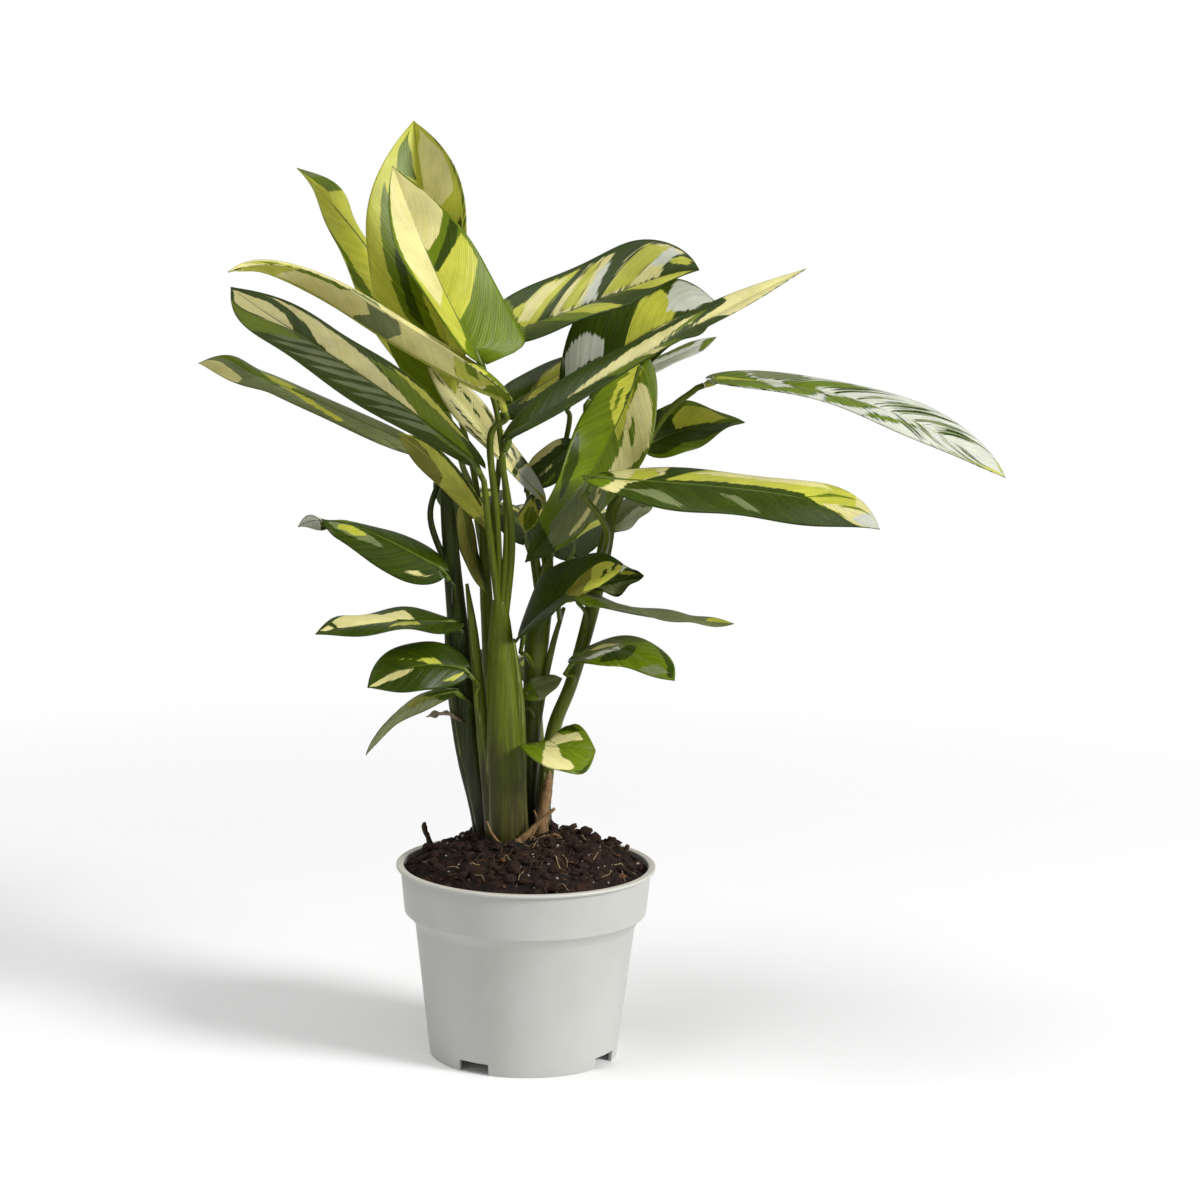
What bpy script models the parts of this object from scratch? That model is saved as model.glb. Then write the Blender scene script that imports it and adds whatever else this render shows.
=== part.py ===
"""A ctenanthe with striped leaves, in the plain grey pot that it was grown in.

Run with blender --background --python part.py, or from Blender's text editor.
The tables are in millimetres and degrees, and MM turns them into Blender's metres.
The origin is the middle of the pot's foot, on the surface that it stands on. +Z is up,
and the plant is seen from -Y.
"""

import math
from collections import namedtuple

import bmesh
import bpy
from mathutils import Matrix, Vector, noise

MM = 0.001
GAP = 0.3
MERGE = 0.0001
SHARP_FROM = 38.0

# Pot: a moulded 14 cm grower's pot with a lip, a stepped band and a drained foot
POT_HEIGHT = 104.5
POT_SIDES = 36
POT_WALL = 1.6
RIM_RADIUS = 70.0
LIP_HEIGHT = 1.7
LIP_INNER_RADIUS = 66.0
BAND_TOP_RADIUS = 67.6
BAND_LOW_RADIUS = 65.3
BAND_LOW_Z = 79.5
STEP_RADIUS = 59.4
STEP_Z = 72.5
FOOT_RADIUS = 50.9
FLOOR_THICK = 2.0
CHANNEL_TOP_Z = 7.0
CHANNEL_INNER_RADIUS = 35.0
NOTCH_COUNT = 4
NOTCH_FIRST_ANGLE = -120.0
NOTCH_WIDTH = 18.0
NOTCH_HEIGHT = 6.3
DRAIN_RADIUS = 4.0
DRAIN_AT_RADIUS = 42.0

# Soil: peat that fills the pot and is mounded round the stems
SOIL_EDGE_Z = 99.5
SOIL_MOUND = 19.5
SOIL_MOUND_POWER = 3.0
SOIL_LUMP = 1.6
SOIL_LUMP_SPACING = 13.0
SOIL_RINGS = (61, 52, 40, 26, 12)
SOIL_LUMP_SEED = Vector((3.7, 1.9, 8.2))

# Stems stand this deep, in plain holes
HOLE_DEPTH_Z = 92.0

# Leaves
BLADE_THICK = 0.8
BLADE_ROWS_PER_MM = 0.058
LEAST_ROWS = 4
NARROW = 23.0
RIB_STEPS = 48
HOOK_POWER = 5
TIP_TURN_FROM = 0.7
WAVES = 1.6
BASE_SHARE = 0.08
TIP_SHARE = 0.04
BASE_ROUNDNESS = 2.6
TIP_POWER = 2.3
LOBE_SHARE = 0.16
KNEE_LENGTH = 9.0
STALK_SIDES = 6
TRUNK_SIDES = 8

POT_GREY = (0.47, 0.48, 0.46, 1.0)
PEAT_BROWN = (0.035, 0.022, 0.015, 1.0)
STEM_GREEN = (0.16, 0.23, 0.035, 1.0)
LEAF_GREEN = (0.10, 0.20, 0.012, 1.0)
LEAF_LIME = (0.45, 0.52, 0.10, 1.0)
DRY_BROWN = (0.22, 0.14, 0.08, 1.0)

# A tube of a shoot: the points that it follows and its radius at each
Tube = namedtuple("Tube", "points radii")

# base: where the blade starts. aim: degrees round from +X and above level in which its rib
# sets out. bend: how far the rib droops and turns left by its tip. size: length and
# greatest width. roll: the blade's turn about its rib. fold: how far each half is lifted
# towards the upper face. start and via: where the stalk leaves the shoot, and what it passes.
# curl: how far each half bends back down by its edge. twist: the roll's change from base to
# tip. tip_turn and hook: more roll and more droop, towards the tip alone. wave and phase:
# how far the edge swings, and where along it. widest: where along the rib the blade is
# widest. skew: how much wider than the mean the right half is.
FIELDS = "name shoot base aim bend size roll fold start via curl twist tip_turn hook wave phase widest skew colour"
Leaf = namedtuple("Leaf", FIELDS, defaults=((), 20, 0, 0, 0, 1.2, 0, 0.4, 0, LEAF_GREEN))


def leaf(name, shoot, **shape):
    """A leaf's row, with its places as vectors."""
    for key in ("base", "start"):
        shape[key] = Vector(shape[key])
    shape["via"] = tuple(Vector(place) for place in shape.get("via", ()))
    return Leaf(name, shoot, **shape)


SHOOTS = {
    "shoot_front": (
        Tube(((-9, -2, 92), (-10, -2, 121), (-12, -2, 162), (-14, -2, 205), (-15, -2, 232), (-16, -3, 249)),
             (10.5, 10.5, 9.6, 7.6, 5.6, 3.4)),
        Tube(((-17, -1, 92), (-18, -1, 124), (-25, 0, 185), (-30, 3, 229), (-34, 6, 256)),
             (4.4, 4.2, 3.4, 2.6, 0.9)),
        Tube(((-3, -3, 92), (-4, -2, 123), (-5, -2, 190), (-9, -3, 228)),
             (4.6, 4.4, 3.0, 1.4)),
    ),
    "shoot_left": (
        Tube(((-21, 14, 92), (-22, 14, 123), (-31, 12, 169), (-40, 11, 246), (-45, 10, 300), (-47, 10, 318)),
             (6.6, 6.8, 6.8, 4.8, 3.4, 1.8)),
        Tube(((-26, 13, 92), (-27, 13, 124), (-36, 10, 164), (-41, 9, 200), (-45, 9, 236)),
             (2.8, 2.8, 3.0, 3.4, 1.2)),
    ),
    "shoot_middle": (
        Tube(((0, 27, 92), (1, 26, 134), (2, 24, 190), (4, 22, 223), (8, 20, 248), (10, 19, 268)),
             (3.8, 4.2, 5.2, 6.2, 4.4, 1.8)),
        Tube(((2, 25, 150), (6, 23, 188), (12, 19, 220), (18, 18, 242)),
             (1.6, 2.2, 1.7, 1.0)),
    ),
    "shoot_right": (
        Tube(((7, 18, 92), (8, 18, 129), (13, 17, 173), (23, 15, 202), (33, 15, 241), (40, 16, 277), (44, 18, 303)),
             (4.2, 4.2, 3.7, 3.4, 3.8, 3.6, 2.2)),
        Tube(((6, 14, 92), (7, 14, 126), (9, 14, 152)),
             (2.6, 2.4, 0.9)),
    ),
    "shoot_back_left": (
        Tube(((-15, 34, 92), (-16, 33, 118), (-20, 30, 188), (-24, 30, 244), (-27, 32, 288)),
             (5.0, 5.0, 4.4, 3.2, 1.8)),
    ),
    "shoot_back_right": (
        Tube(((10, 37, 92), (8, 38, 120), (2, 42, 190), (4, 46, 240), (12, 50, 275)),
             (4.8, 4.8, 4.0, 3.2, 1.8)),
    ),
}

LEAVES = (
    leaf("leaf_crown_front", "shoot_front", base=(-31, -5, 382), aim=(145, 54), bend=(-7, -9),
         size=(111, 60), roll=-17, fold=30, start=(-15, -4, 240), via=((-13, -5, 292), (-18, -6, 345)),
         curl=13, twist=-41, widest=0.04),
    leaf("leaf_crown_back", "shoot_back_left", base=(-43, 35, 356), aim=(128, 72), bend=(-2, -5),
         size=(149, 73), roll=-53, fold=42, start=(-25, 31, 262), via=((-32, 34, 312),),
         curl=7, twist=39, wave=0.6, phase=0.3, widest=0.54, colour=LEAF_LIME),
    leaf("leaf_left_upright", "shoot_back_left", base=(-43, 77, 321), aim=(168, 76), bend=(34, 10),
         size=(178, 38), roll=-40, fold=-22, start=(-26, 31, 268), via=((-33, 50, 298),),
         curl=50, twist=-19, tip_turn=-72, wave=6.0, phase=0.27, widest=0.57, skew=0.07),
    leaf("leaf_left_long", "shoot_front", base=(-17, -20, 359), aim=(-159, 23), bend=(-19, 20),
         size=(173, 42), roll=-11, fold=46, start=(-16, -3, 244), via=((-18, -5, 292), (-22, -11, 336)),
         twist=7, hook=53, wave=0.7, phase=0.14, colour=LEAF_LIME),
    leaf("leaf_left_broad", "shoot_front", base=(-31, -12, 325), aim=(-159, 40), bend=(15, 20),
         size=(169, 50), roll=22, fold=4, start=(-15, -3, 234), via=((-22, -9, 287),),
         curl=11, twist=-5, hook=-8, wave=1.8, phase=-0.1, widest=0.7),
    leaf("leaf_left_low", "shoot_left", base=(-55, 18, 325), aim=(-170, 24), bend=(-3, 23),
         size=(138, 31), roll=-21, fold=3, start=(-42, 10, 258), via=((-54, 10, 290),),
         hook=25, tip_turn=-62, wave=-0.4, phase=0.3, widest=0.48),
    leaf("leaf_left_inner", "shoot_front", base=(-21, 1, 286), aim=(-179, 59), bend=(28, -3),
         size=(72, 20), roll=52, fold=0, start=(-15, -1, 238),
         twist=55, wave=0.5, phase=0.07, widest=0.53, colour=LEAF_LIME),
    leaf("leaf_centre_pale", "shoot_middle", base=(5, 14, 302), aim=(191, 48), bend=(-3, -1),
         size=(97, 19), roll=-58, fold=23, start=(9, 19, 258), via=((10, 25, 278),),
         curl=13, twist=-50, phase=-0.1, widest=0.57, colour=LEAF_LIME),
    leaf("leaf_right_upper", "shoot_back_left", base=(-23, 36, 385), aim=(14, 17), bend=(-13, -46),
         size=(121, 59), roll=32, fold=28, start=(-25, 31, 262), via=((-18, 34, 330),),
         twist=9, hook=26, wave=1.8, phase=0.34, widest=0.61),
    leaf("leaf_right_broad", "shoot_middle", base=(23, 44, 358), aim=(19, 46), bend=(33, -4),
         size=(92, 57), roll=40, fold=27, start=(8, 20, 250), via=((14, 34, 310), (19, 40, 340)),
         curl=7, twist=34, wave=6.0, widest=0.53, colour=LEAF_LIME),
    leaf("leaf_right_tucked", "shoot_back_right", base=(35, 56, 358), aim=(16, 18), bend=(-6, 6),
         size=(72, 23), roll=8, fold=12, start=(9, 48, 262), via=((27, 54, 322),),
         twist=27),
    leaf("leaf_right_folded", "shoot_front", base=(-11, -10, 338), aim=(-7, 35), bend=(13, 39),
         size=(184, 34), roll=14, fold=29, start=(-14, -3, 232), via=((-10, -5, 282),),
         curl=33, twist=-9, phase=0.2, widest=0.21),
    leaf("leaf_right_dark", "shoot_back_right", base=(-17, 60, 344), aim=(11, 34), bend=(5, -11),
         size=(64, 27), roll=37, fold=11, start=(5, 47, 248), via=((-6, 54, 312),),
         twist=-19, wave=-0.4, widest=0.26),
    leaf("leaf_centre_hanging", "shoot_right", base=(56, 13, 373), aim=(-166, -72), bend=(-25, 2),
         size=(121, 42), roll=-91, fold=24, start=(43, 17, 294), via=((50, 18, 335),),
         curl=0, twist=-10, wave=-6.8, phase=-0.52, skew=0.07),
    leaf("leaf_right_small", "shoot_right", base=(62, 22, 331), aim=(16, 26), bend=(29, -2),
         size=(55, 32), roll=40, fold=20, start=(43, 18, 292), via=((54, 22, 316),),
         curl=13, twist=-42, wave=2.4, phase=-0.26, widest=0.29),
    leaf("leaf_right_far", "shoot_right", base=(99, 6, 368), aim=(4, 0), bend=(32, -38),
         size=(164, 50), roll=9, fold=12, start=(43, 17, 296), via=((68, 11, 345),),
         wave=-0.9, widest=0.55, colour=LEAF_LIME),
    leaf("leaf_right_level", "shoot_right", base=(35, -23, 318), aim=(10, -3), bend=(-1, -53),
         size=(158, 51), roll=20, fold=-2, start=(38, 15, 268), via=((40, -8, 289),),
         curl=12, twist=17, hook=25, wave=1.9, phase=0.14, widest=0.44),
    leaf("leaf_right_under", "shoot_right", base=(61, 28, 300), aim=(-170, -23), bend=(34, 2),
         size=(30, 26), roll=-22, fold=6, start=(43, 17, 296), via=((52, 22, 317),)),
    leaf("leaf_centre_inner", "shoot_middle", base=(21, 30, 328), aim=(-169, -35), bend=(18, -2),
         size=(36, 20), roll=-60, fold=6, start=(9, 19, 262), via=((15, 24, 302),)),
    leaf("leaf_centre_young", "shoot_middle", base=(2, 25, 300), aim=(-168, -56), bend=(35, 0),
         size=(20, 18), roll=-24, fold=6, start=(9, 19, 256), via=((4, 23, 284),),
         colour=LEAF_LIME),
    leaf("leaf_low_centre", "shoot_middle", base=(-3, 6, 230), aim=(-35, 51), bend=(35, 10),
         size=(76, 44), roll=38, fold=24, start=(3, 22, 205), via=((-1, 12, 216),),
         twist=6, wave=1.9),
    leaf("leaf_low_centre_back", "shoot_right", base=(33, 3, 258), aim=(5, 10), bend=(1, -16),
         size=(28, 18), roll=54, fold=17, start=(28, 15, 224), via=((30, 7, 240),),
         curl=15, wave=4.8, phase=-0.23),
    leaf("leaf_low_right_thin", "shoot_middle", base=(25, -6, 251), aim=(5, -17), bend=(-18, -12),
         size=(85, 21), roll=2, fold=25, start=(16, 18, 236),
         curl=28, twist=-21, tip_turn=72, wave=-1.9, widest=0.26),
    leaf("leaf_low_right_curled", "shoot_right", base=(25, 2, 218), aim=(-15, 28), bend=(73, -38),
         size=(67, 31), roll=18, fold=7, start=(20, 15, 196), via=((24, 8, 206),),
         hook=-24, phase=-0.08),
    leaf("leaf_low_right_pale", "shoot_middle", base=(-2, 8, 196), aim=(-5, 30), bend=(10, 0),
         size=(22, 14), roll=50, fold=6, start=(3, 23, 178), via=((0, 14, 187),)),
    leaf("leaf_low_round", "shoot_right", base=(4, -9, 172), aim=(-34, 3), bend=(13, 59),
         size=(34, 40), roll=26, fold=9, start=(10, 17, 156), via=((8, 5, 160),),
         twist=54, widest=0.56),
    leaf("leaf_low_left_broad", "shoot_left", base=(-48, -5, 266), aim=(-181, 30), bend=(13, -6),
         size=(82, 33), roll=-27, fold=-11, start=(-41, 11, 240),
         curl=28, twist=37, hook=55, tip_turn=117, wave=-0.7, widest=0.26),
    leaf("leaf_low_left_striped", "shoot_left", base=(-41, -5, 237), aim=(-141, 9), bend=(15, 2),
         size=(89, 36), roll=-10, fold=11, start=(-38, 11, 216),
         wave=2.1, phase=-0.33),
    leaf("leaf_low_left_oval", "shoot_front", base=(-35, -5, 212), aim=(-163, 18), bend=(54, 2),
         size=(55, 29), roll=-54, fold=4, start=(-24, 0, 176), via=((-28, -4, 196),),
         twist=-6, phase=-0.32, widest=0.45),
    leaf("leaf_low_left_drooping", "shoot_left", base=(-40, -2, 199), aim=(-167, -4), bend=(63, -1),
         size=(61, 18), roll=37, fold=0, start=(-34, 12, 178),
         curl=27, twist=-17, wave=0.8),
    leaf("leaf_low_left_dried", "shoot_left", base=(-43, 2, 186), aim=(-174, -4), bend=(10, 0),
         size=(12, 6), roll=-12, fold=20, start=(-35, 9, 172),
         colour=DRY_BROWN),
    leaf("leaf_centre_olive", "shoot_back_left", base=(-37, 21, 296), aim=(7, -85), bend=(-22, -8),
         size=(50, 19), roll=-152, fold=16, start=(-27, 31, 280), via=((-33, 28, 304),),
         twist=-10, wave=0.6),
    leaf("leaf_back_left", "shoot_back_left", base=(-38, 52, 287), aim=(88, 20), bend=(55, 4),
         size=(118, 40), roll=8, fold=12, start=(-26, 31, 252), via=((-34, 42, 274),)),
    leaf("leaf_back_right", "shoot_back_right", base=(22, 66, 264), aim=(86, 24), bend=(50, -2),
         size=(124, 44), roll=-8, fold=12, start=(4, 46, 242), via=((14, 57, 256),)),
    leaf("leaf_back_middle", "shoot_back_right", base=(-4, 64, 272), aim=(96, 26), bend=(60, 4),
         size=(112, 38), roll=4, fold=12, start=(4, 46, 240), via=((0, 56, 262),)),
    leaf("leaf_back_low_left", "shoot_back_left", base=(-27, 46, 206), aim=(118, 18), bend=(60, 0),
         size=(78, 28), roll=6, fold=10, start=(-21, 31, 196)),
    leaf("leaf_back_low_right", "shoot_back_right", base=(-4, 60, 196), aim=(100, 20), bend=(62, 0),
         size=(80, 26), roll=-6, fold=10, start=(2, 42, 186)),
)


def clear_scene():
    for thing in list(bpy.data.objects):
        bpy.data.objects.remove(thing, do_unlink=True)


def new_collection(name):
    group = bpy.data.collections.new(name)
    bpy.context.scene.collection.children.link(group)
    return group


def principled(name, colour, roughness):
    material = bpy.data.materials.new(name)
    material.use_nodes = True
    shader = material.node_tree.nodes["Principled BSDF"]
    shader.inputs["Base Color"].default_value = colour
    shader.inputs["Roughness"].default_value = roughness
    shader.inputs["Metallic"].default_value = 0.0
    material.diffuse_color = colour
    return material


def add_object(name, mesh, group):
    thing = bpy.data.objects.new(name, mesh)
    group.objects.link(thing)
    return thing


def evaluated_mesh(thing):
    """The object's mesh with its modifiers applied, in its own space."""
    graph = bpy.context.evaluated_depsgraph_get()
    return bpy.data.meshes.new_from_object(thing.evaluated_get(graph))


def apply_modifiers(thing):
    mesh = evaluated_mesh(thing)
    thing.modifiers.clear()
    thing.data = mesh


def fuse(thing, others):
    """Joins the other objects to this one by one Boolean union, and removes them."""
    group = new_collection(thing.name + "_fused")
    for other in others:
        group.objects.link(other)
    union = thing.modifiers.new("Fuse", "BOOLEAN")
    union.operation = "UNION"
    union.operand_type = "COLLECTION"
    union.collection = group
    apply_modifiers(thing)
    thing.data.shade_smooth()
    thing.data.set_sharp_from_angle(angle=math.radians(SHARP_FROM))
    for other in others:
        bpy.data.objects.remove(other, do_unlink=True)
    bpy.data.collections.remove(group)


def cut_by(thing, cutters_group):
    cut = thing.modifiers.new("Cut", "BOOLEAN")
    cut.operation = "DIFFERENCE"
    cut.operand_type = "COLLECTION"
    cut.collection = cutters_group


def as_cutter(thing):
    thing.hide_render = True
    thing.display_type = "WIRE"


def spline_point(points, along):
    """The point at along, from 0 to 1, on a smooth curve through the points."""
    spans = len(points) - 1
    span = min(int(along * spans), spans - 1)
    u = along * spans - span
    here, there = points[span], points[span + 1]
    before = points[span - 1] if span else here * 2 - there
    after = points[span + 2] if span + 2 < len(points) else there * 2 - here
    return 0.5 * (
        2 * here
        + (there - before) * u
        + (2 * before - 5 * here + 4 * there - after) * u**2
        + (3 * here - before - 3 * there + after) * u**3
    )


def smooth_path(points, radii, samples_per_span):
    """Points and radii read from a smooth curve through the points."""
    spans = len(points) - 1
    count = spans * samples_per_span
    path, widths = [], []
    for i in range(count + 1):
        along = i / count
        span = min(int(along * spans), spans - 1)
        u = along * spans - span
        path.append(spline_point(points, along))
        widths.append(radii[span] * (1 - u) + radii[span + 1] * u)
    return path, widths


def tube(name, path, radii, sides, group):
    """A round tube along the path, closed at both ends, as a mesh object."""
    curve = bpy.data.curves.new(name, "CURVE")
    curve.dimensions = "3D"
    curve.bevel_depth = 1.0
    curve.bevel_resolution = (sides - 4) // 2
    curve.use_fill_caps = True
    line = curve.splines.new("POLY")
    line.points.add(len(path) - 1)
    for point, place, radius in zip(line.points, path, radii):
        point.co = (*(place * MM), 1.0)
        point.radius = radius * MM
    guide = add_object(name + "_path", curve, group)
    mesh = evaluated_mesh(guide)
    shell = bmesh.new()
    shell.from_mesh(mesh)
    bmesh.ops.remove_doubles(shell, verts=shell.verts, dist=MERGE / 10)
    bmesh.ops.triangulate(shell, faces=shell.faces)
    shell.to_mesh(mesh)
    shell.free()
    thing = add_object(name, mesh, group)
    thing.matrix_world = guide.matrix_world
    bpy.data.objects.remove(guide, do_unlink=True)
    return thing


def turned(name, profile, group):
    """A profile of (radius, height) pairs, turned about Z."""
    mesh = bpy.data.meshes.new(name)
    edges = [(i, i + 1) for i in range(len(profile) - 1)]
    mesh.from_pydata([(r * MM, 0.0, z * MM) for r, z in profile], edges, [])
    thing = add_object(name, mesh, group)
    screw = thing.modifiers.new("Turn", "SCREW")
    screw.steps = POT_SIDES
    screw.render_steps = POT_SIDES
    screw.use_merge_vertices = True
    screw.merge_threshold = MERGE
    return thing


def inner_wall(gap=0.0):
    """The pot's inner side from the floor's middle to the band, a gap away from it."""
    return [
        (0.0, FLOOR_THICK + gap),
        (CHANNEL_INNER_RADIUS - FLOOR_THICK - gap, FLOOR_THICK + gap),
        (CHANNEL_INNER_RADIUS - gap, CHANNEL_TOP_Z + FLOOR_THICK + gap),
        (FOOT_RADIUS + 1.0 - POT_WALL - gap, CHANNEL_TOP_Z + FLOOR_THICK + gap),
        (STEP_RADIUS - POT_WALL - gap, STEP_Z + gap),
        (BAND_LOW_RADIUS - POT_WALL - gap, BAND_LOW_Z + gap),
    ]


def pot_profile():
    lip_low_z = POT_HEIGHT - LIP_HEIGHT
    outside = [
        (LIP_INNER_RADIUS, POT_HEIGHT),
        (RIM_RADIUS - 0.5, POT_HEIGHT),
        (RIM_RADIUS, POT_HEIGHT - 0.5),
        (RIM_RADIUS, lip_low_z),
        (BAND_TOP_RADIUS, lip_low_z - 0.4),
        (BAND_LOW_RADIUS, BAND_LOW_Z),
        (BAND_LOW_RADIUS - 1.3, BAND_LOW_Z - 2.0),
        (STEP_RADIUS, STEP_Z),
        (FOOT_RADIUS, 0.0),
        (FOOT_RADIUS - POT_WALL, 0.0),
        (FOOT_RADIUS - POT_WALL, CHANNEL_TOP_Z),
        (CHANNEL_INNER_RADIUS + FLOOR_THICK, CHANNEL_TOP_Z),
        (CHANNEL_INNER_RADIUS, 0.0),
        (0.0, 0.0),
    ]
    return inner_wall() + outside


def cube_cutter(name, size, group):
    shape = bmesh.new()
    bmesh.ops.create_cube(shape, size=1.0)
    bmesh.ops.scale(shape, verts=shape.verts, vec=[side * MM for side in size])
    mesh = bpy.data.meshes.new(name)
    shape.to_mesh(mesh)
    shape.free()
    thing = add_object(name, mesh, group)
    as_cutter(thing)
    return thing


def drain_cutter(name, group):
    shape = bmesh.new()
    bmesh.ops.create_cone(
        shape,
        cap_ends=True,
        segments=12,
        radius1=DRAIN_RADIUS * MM,
        radius2=DRAIN_RADIUS * MM,
        depth=4 * FLOOR_THICK * MM,
    )
    mesh = bpy.data.meshes.new(name)
    shape.to_mesh(mesh)
    shape.free()
    thing = add_object(name, mesh, group)
    as_cutter(thing)
    return thing


def add_pot(group, cutters, material):
    """The pot, with notches in its foot and a drain hole in the channel behind each."""
    pot = turned("pot", pot_profile(), group)
    for i in range(NOTCH_COUNT):
        turn = Matrix.Rotation(math.radians(NOTCH_FIRST_ANGLE + 360 / NOTCH_COUNT * i), 4, "Z")
        notch = cube_cutter(f"notch_{i}", (3 * POT_WALL, NOTCH_WIDTH, 2 * NOTCH_HEIGHT), cutters)
        notch.matrix_world = turn @ Matrix.Translation(((FOOT_RADIUS - 0.5 * POT_WALL) * MM, 0, 0))
        drain = drain_cutter(f"drain_{i}", cutters)
        drain.matrix_world = turn @ Matrix.Translation(
            (DRAIN_AT_RADIUS * MM, 0, (CHANNEL_TOP_Z + 0.5 * FLOOR_THICK) * MM)
        )
    cut_by(pot, cutters)
    pot.data.materials.append(material)
    return pot


def mound_height(radius):
    """Height of the soil's top at a distance from the pot's middle, before its lumps."""
    share = min(radius / SOIL_RINGS[0], 1.0)
    return SOIL_EDGE_Z + SOIL_MOUND * (1 - share**SOIL_MOUND_POWER)


def add_soil(group, holes, material):
    """The peat: a turned fill with a lumpy mound, and a plain hole for each stem."""
    top = [(r, mound_height(r)) for r in SOIL_RINGS] + [(0.0, mound_height(0.0))]
    edge = [(BAND_TOP_RADIUS - POT_WALL - 1.2, SOIL_EDGE_Z - 0.4)]
    fill = inner_wall(GAP) + edge
    profile = list(reversed(top)) + list(reversed(fill))
    soil = turned("soil", profile, group)
    apply_modifiers(soil)
    for vertex in soil.data.vertices:
        radius = vertex.co.xy.length / MM
        if vertex.co.z > (SOIL_EDGE_Z - 1) * MM and radius < SOIL_RINGS[0] + 1:
            place = vertex.co / (SOIL_LUMP_SPACING * MM) + SOIL_LUMP_SEED
            vertex.co.z += noise.noise(place) * SOIL_LUMP * 2 * MM
    cut_by(soil, holes)
    soil.data.materials.append(material)
    return soil


def direction(heading, rise):
    heading, rise = math.radians(heading), math.radians(rise)
    level = Vector((math.cos(heading), math.sin(heading), 0))
    return level * math.cos(rise) + Vector((0, 0, math.sin(rise)))


def towards_tip(along):
    """0 up to TIP_TURN_FROM, and from there a smooth rise to 1 at the tip."""
    share = max((along - TIP_TURN_FROM) / (1 - TIP_TURN_FROM), 0)
    return share * share * (3 - 2 * share)


def rib_frame(row, along):
    """Where the rib points at along, from 0 to 1, and its upper side and right side."""
    heading = row.aim[0] + row.bend[1] * along
    rise = row.aim[1] - row.bend[0] * along - row.hook * along**HOOK_POWER
    forward = direction(heading, rise)
    up = direction(heading, rise + 90)
    right = forward.cross(up)
    roll = math.radians(row.roll + row.twist * (along - 0.5) + row.tip_turn * towards_tip(along))
    face = up * math.cos(roll) + right * math.sin(roll)
    return forward, face, forward.cross(face)


def rib_points(row):
    """The rib's points from base to tip, summed from short steps along it."""
    points = [row.base.copy()]
    for i in range(RIB_STEPS):
        step = rib_frame(row, (i + 0.5) / RIB_STEPS)[0] * (row.size[0] / RIB_STEPS)
        points.append(points[-1] + step)
    return points


def outline(row, along):
    """Half of the blade's width at along, as a share of the greatest."""
    if along < row.widest:
        short = (row.widest - along) / row.widest
        return max(math.sqrt(max(1 - short**BASE_ROUNDNESS, 0)), BASE_SHARE)
    short = (along - row.widest) / (1 - row.widest)
    return max(1 - short**TIP_POWER, TIP_SHARE)


def blade_point(row, rib, along, across):
    """A point of the blade. across runs from -1 at the left edge to 1 at the right."""
    forward, face, right = rib_frame(row, along)
    side = math.copysign(1, across)
    share = outline(row, along)
    reach = row.size[1] / 2 * (1 + side * row.skew) * share * abs(across)
    lift = math.radians(row.fold - row.curl * abs(across) / 2)
    swing = math.sin(2 * math.pi * (WAVES * along + row.phase + 0.25 * side)) * row.wave * share
    lobe = LOBE_SHARE * row.size[1] * (1 - along) ** 6 * abs(across) ** 1.6
    return (
        spline_point(rib, along)
        + right * (side * reach * math.cos(lift))
        + face * (reach * math.sin(lift) + swing * across**2)
        - forward * lobe
    )


def even_ends(share):
    """Sets rows closer together towards the base and the tip."""
    return 0.65 * share + 0.35 * (1 - math.cos(math.pi * share)) / 2


def add_blade(row, group):
    """The waved blade, as a grid laid along the rib, split into triangles and thickened."""
    rows = max(LEAST_ROWS, round(row.size[0] * BLADE_ROWS_PER_MM))
    columns = 2 if row.size[1] < NARROW else 4
    rib = rib_points(row)
    shape = bmesh.new()
    bmesh.ops.create_grid(shape, x_segments=rows, y_segments=columns, size=1.0)
    for vertex in shape.verts:
        along = even_ends(min(max((vertex.co.x + 1) / 2, 0), 1))
        vertex.co = blade_point(row, rib, along, -vertex.co.y) * MM
    bmesh.ops.triangulate(shape, faces=shape.faces)
    mesh = bpy.data.meshes.new(row.name)
    shape.to_mesh(mesh)
    shape.free()
    blade = add_object(row.name, mesh, group)
    thick = blade.modifiers.new("Thick", "SOLIDIFY")
    thick.thickness = BLADE_THICK * MM
    thick.offset = 0.0
    apply_modifiers(blade)
    return blade, rib


def knee(row):
    """Where the stalk ends and the blade's swollen joint begins, and which way it points."""
    before = row.via[-1] if row.via else row.start
    way = (row.base - before).normalized() * 1.4 + rib_frame(row, 0)[0]
    way.normalize()
    return row.base - way * KNEE_LENGTH, way


def stalk_radius(row):
    return 0.85 + 0.0045 * row.size[0]


def add_joint_and_rib(row, rib, group):
    """The swollen joint under the blade, running on as the rib along its underside."""
    place, way = knee(row)
    size = stalk_radius(row)
    path = [place, place + way * KNEE_LENGTH * 0.5, row.base]
    radii = [size, size * 1.25, size * 1.1]
    for along, share in ((0.08, 0.8), (0.18, 0.55)):
        under = rib_frame(row, along)[1]
        path.append(spline_point(rib, along) - under * (size * share * 0.35))
        radii.append(size * share)
    return tube(row.name + "_joint", path, radii, STALK_SIDES, group)


def add_leaf(row, group, materials):
    blade, rib = add_blade(row, group)
    fuse(blade, [add_joint_and_rib(row, rib, group)])
    blade.data.materials.append(materials[row.colour])
    return blade


def stalk_tube(row, group):
    """The leaf's stalk, from well inside the shoot to just short of the blade's joint."""
    end, way = knee(row)
    end = end - way * GAP
    size = stalk_radius(row)
    points = [row.start, *row.via, end - way * 4.0]
    radii = [size * 1.35] + [size * 1.15] * len(row.via) + [size]
    path, widths = smooth_path(points, radii, 2)
    return tube(row.name + "_stalk", path + [end], widths + [size], STALK_SIDES, group)


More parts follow.
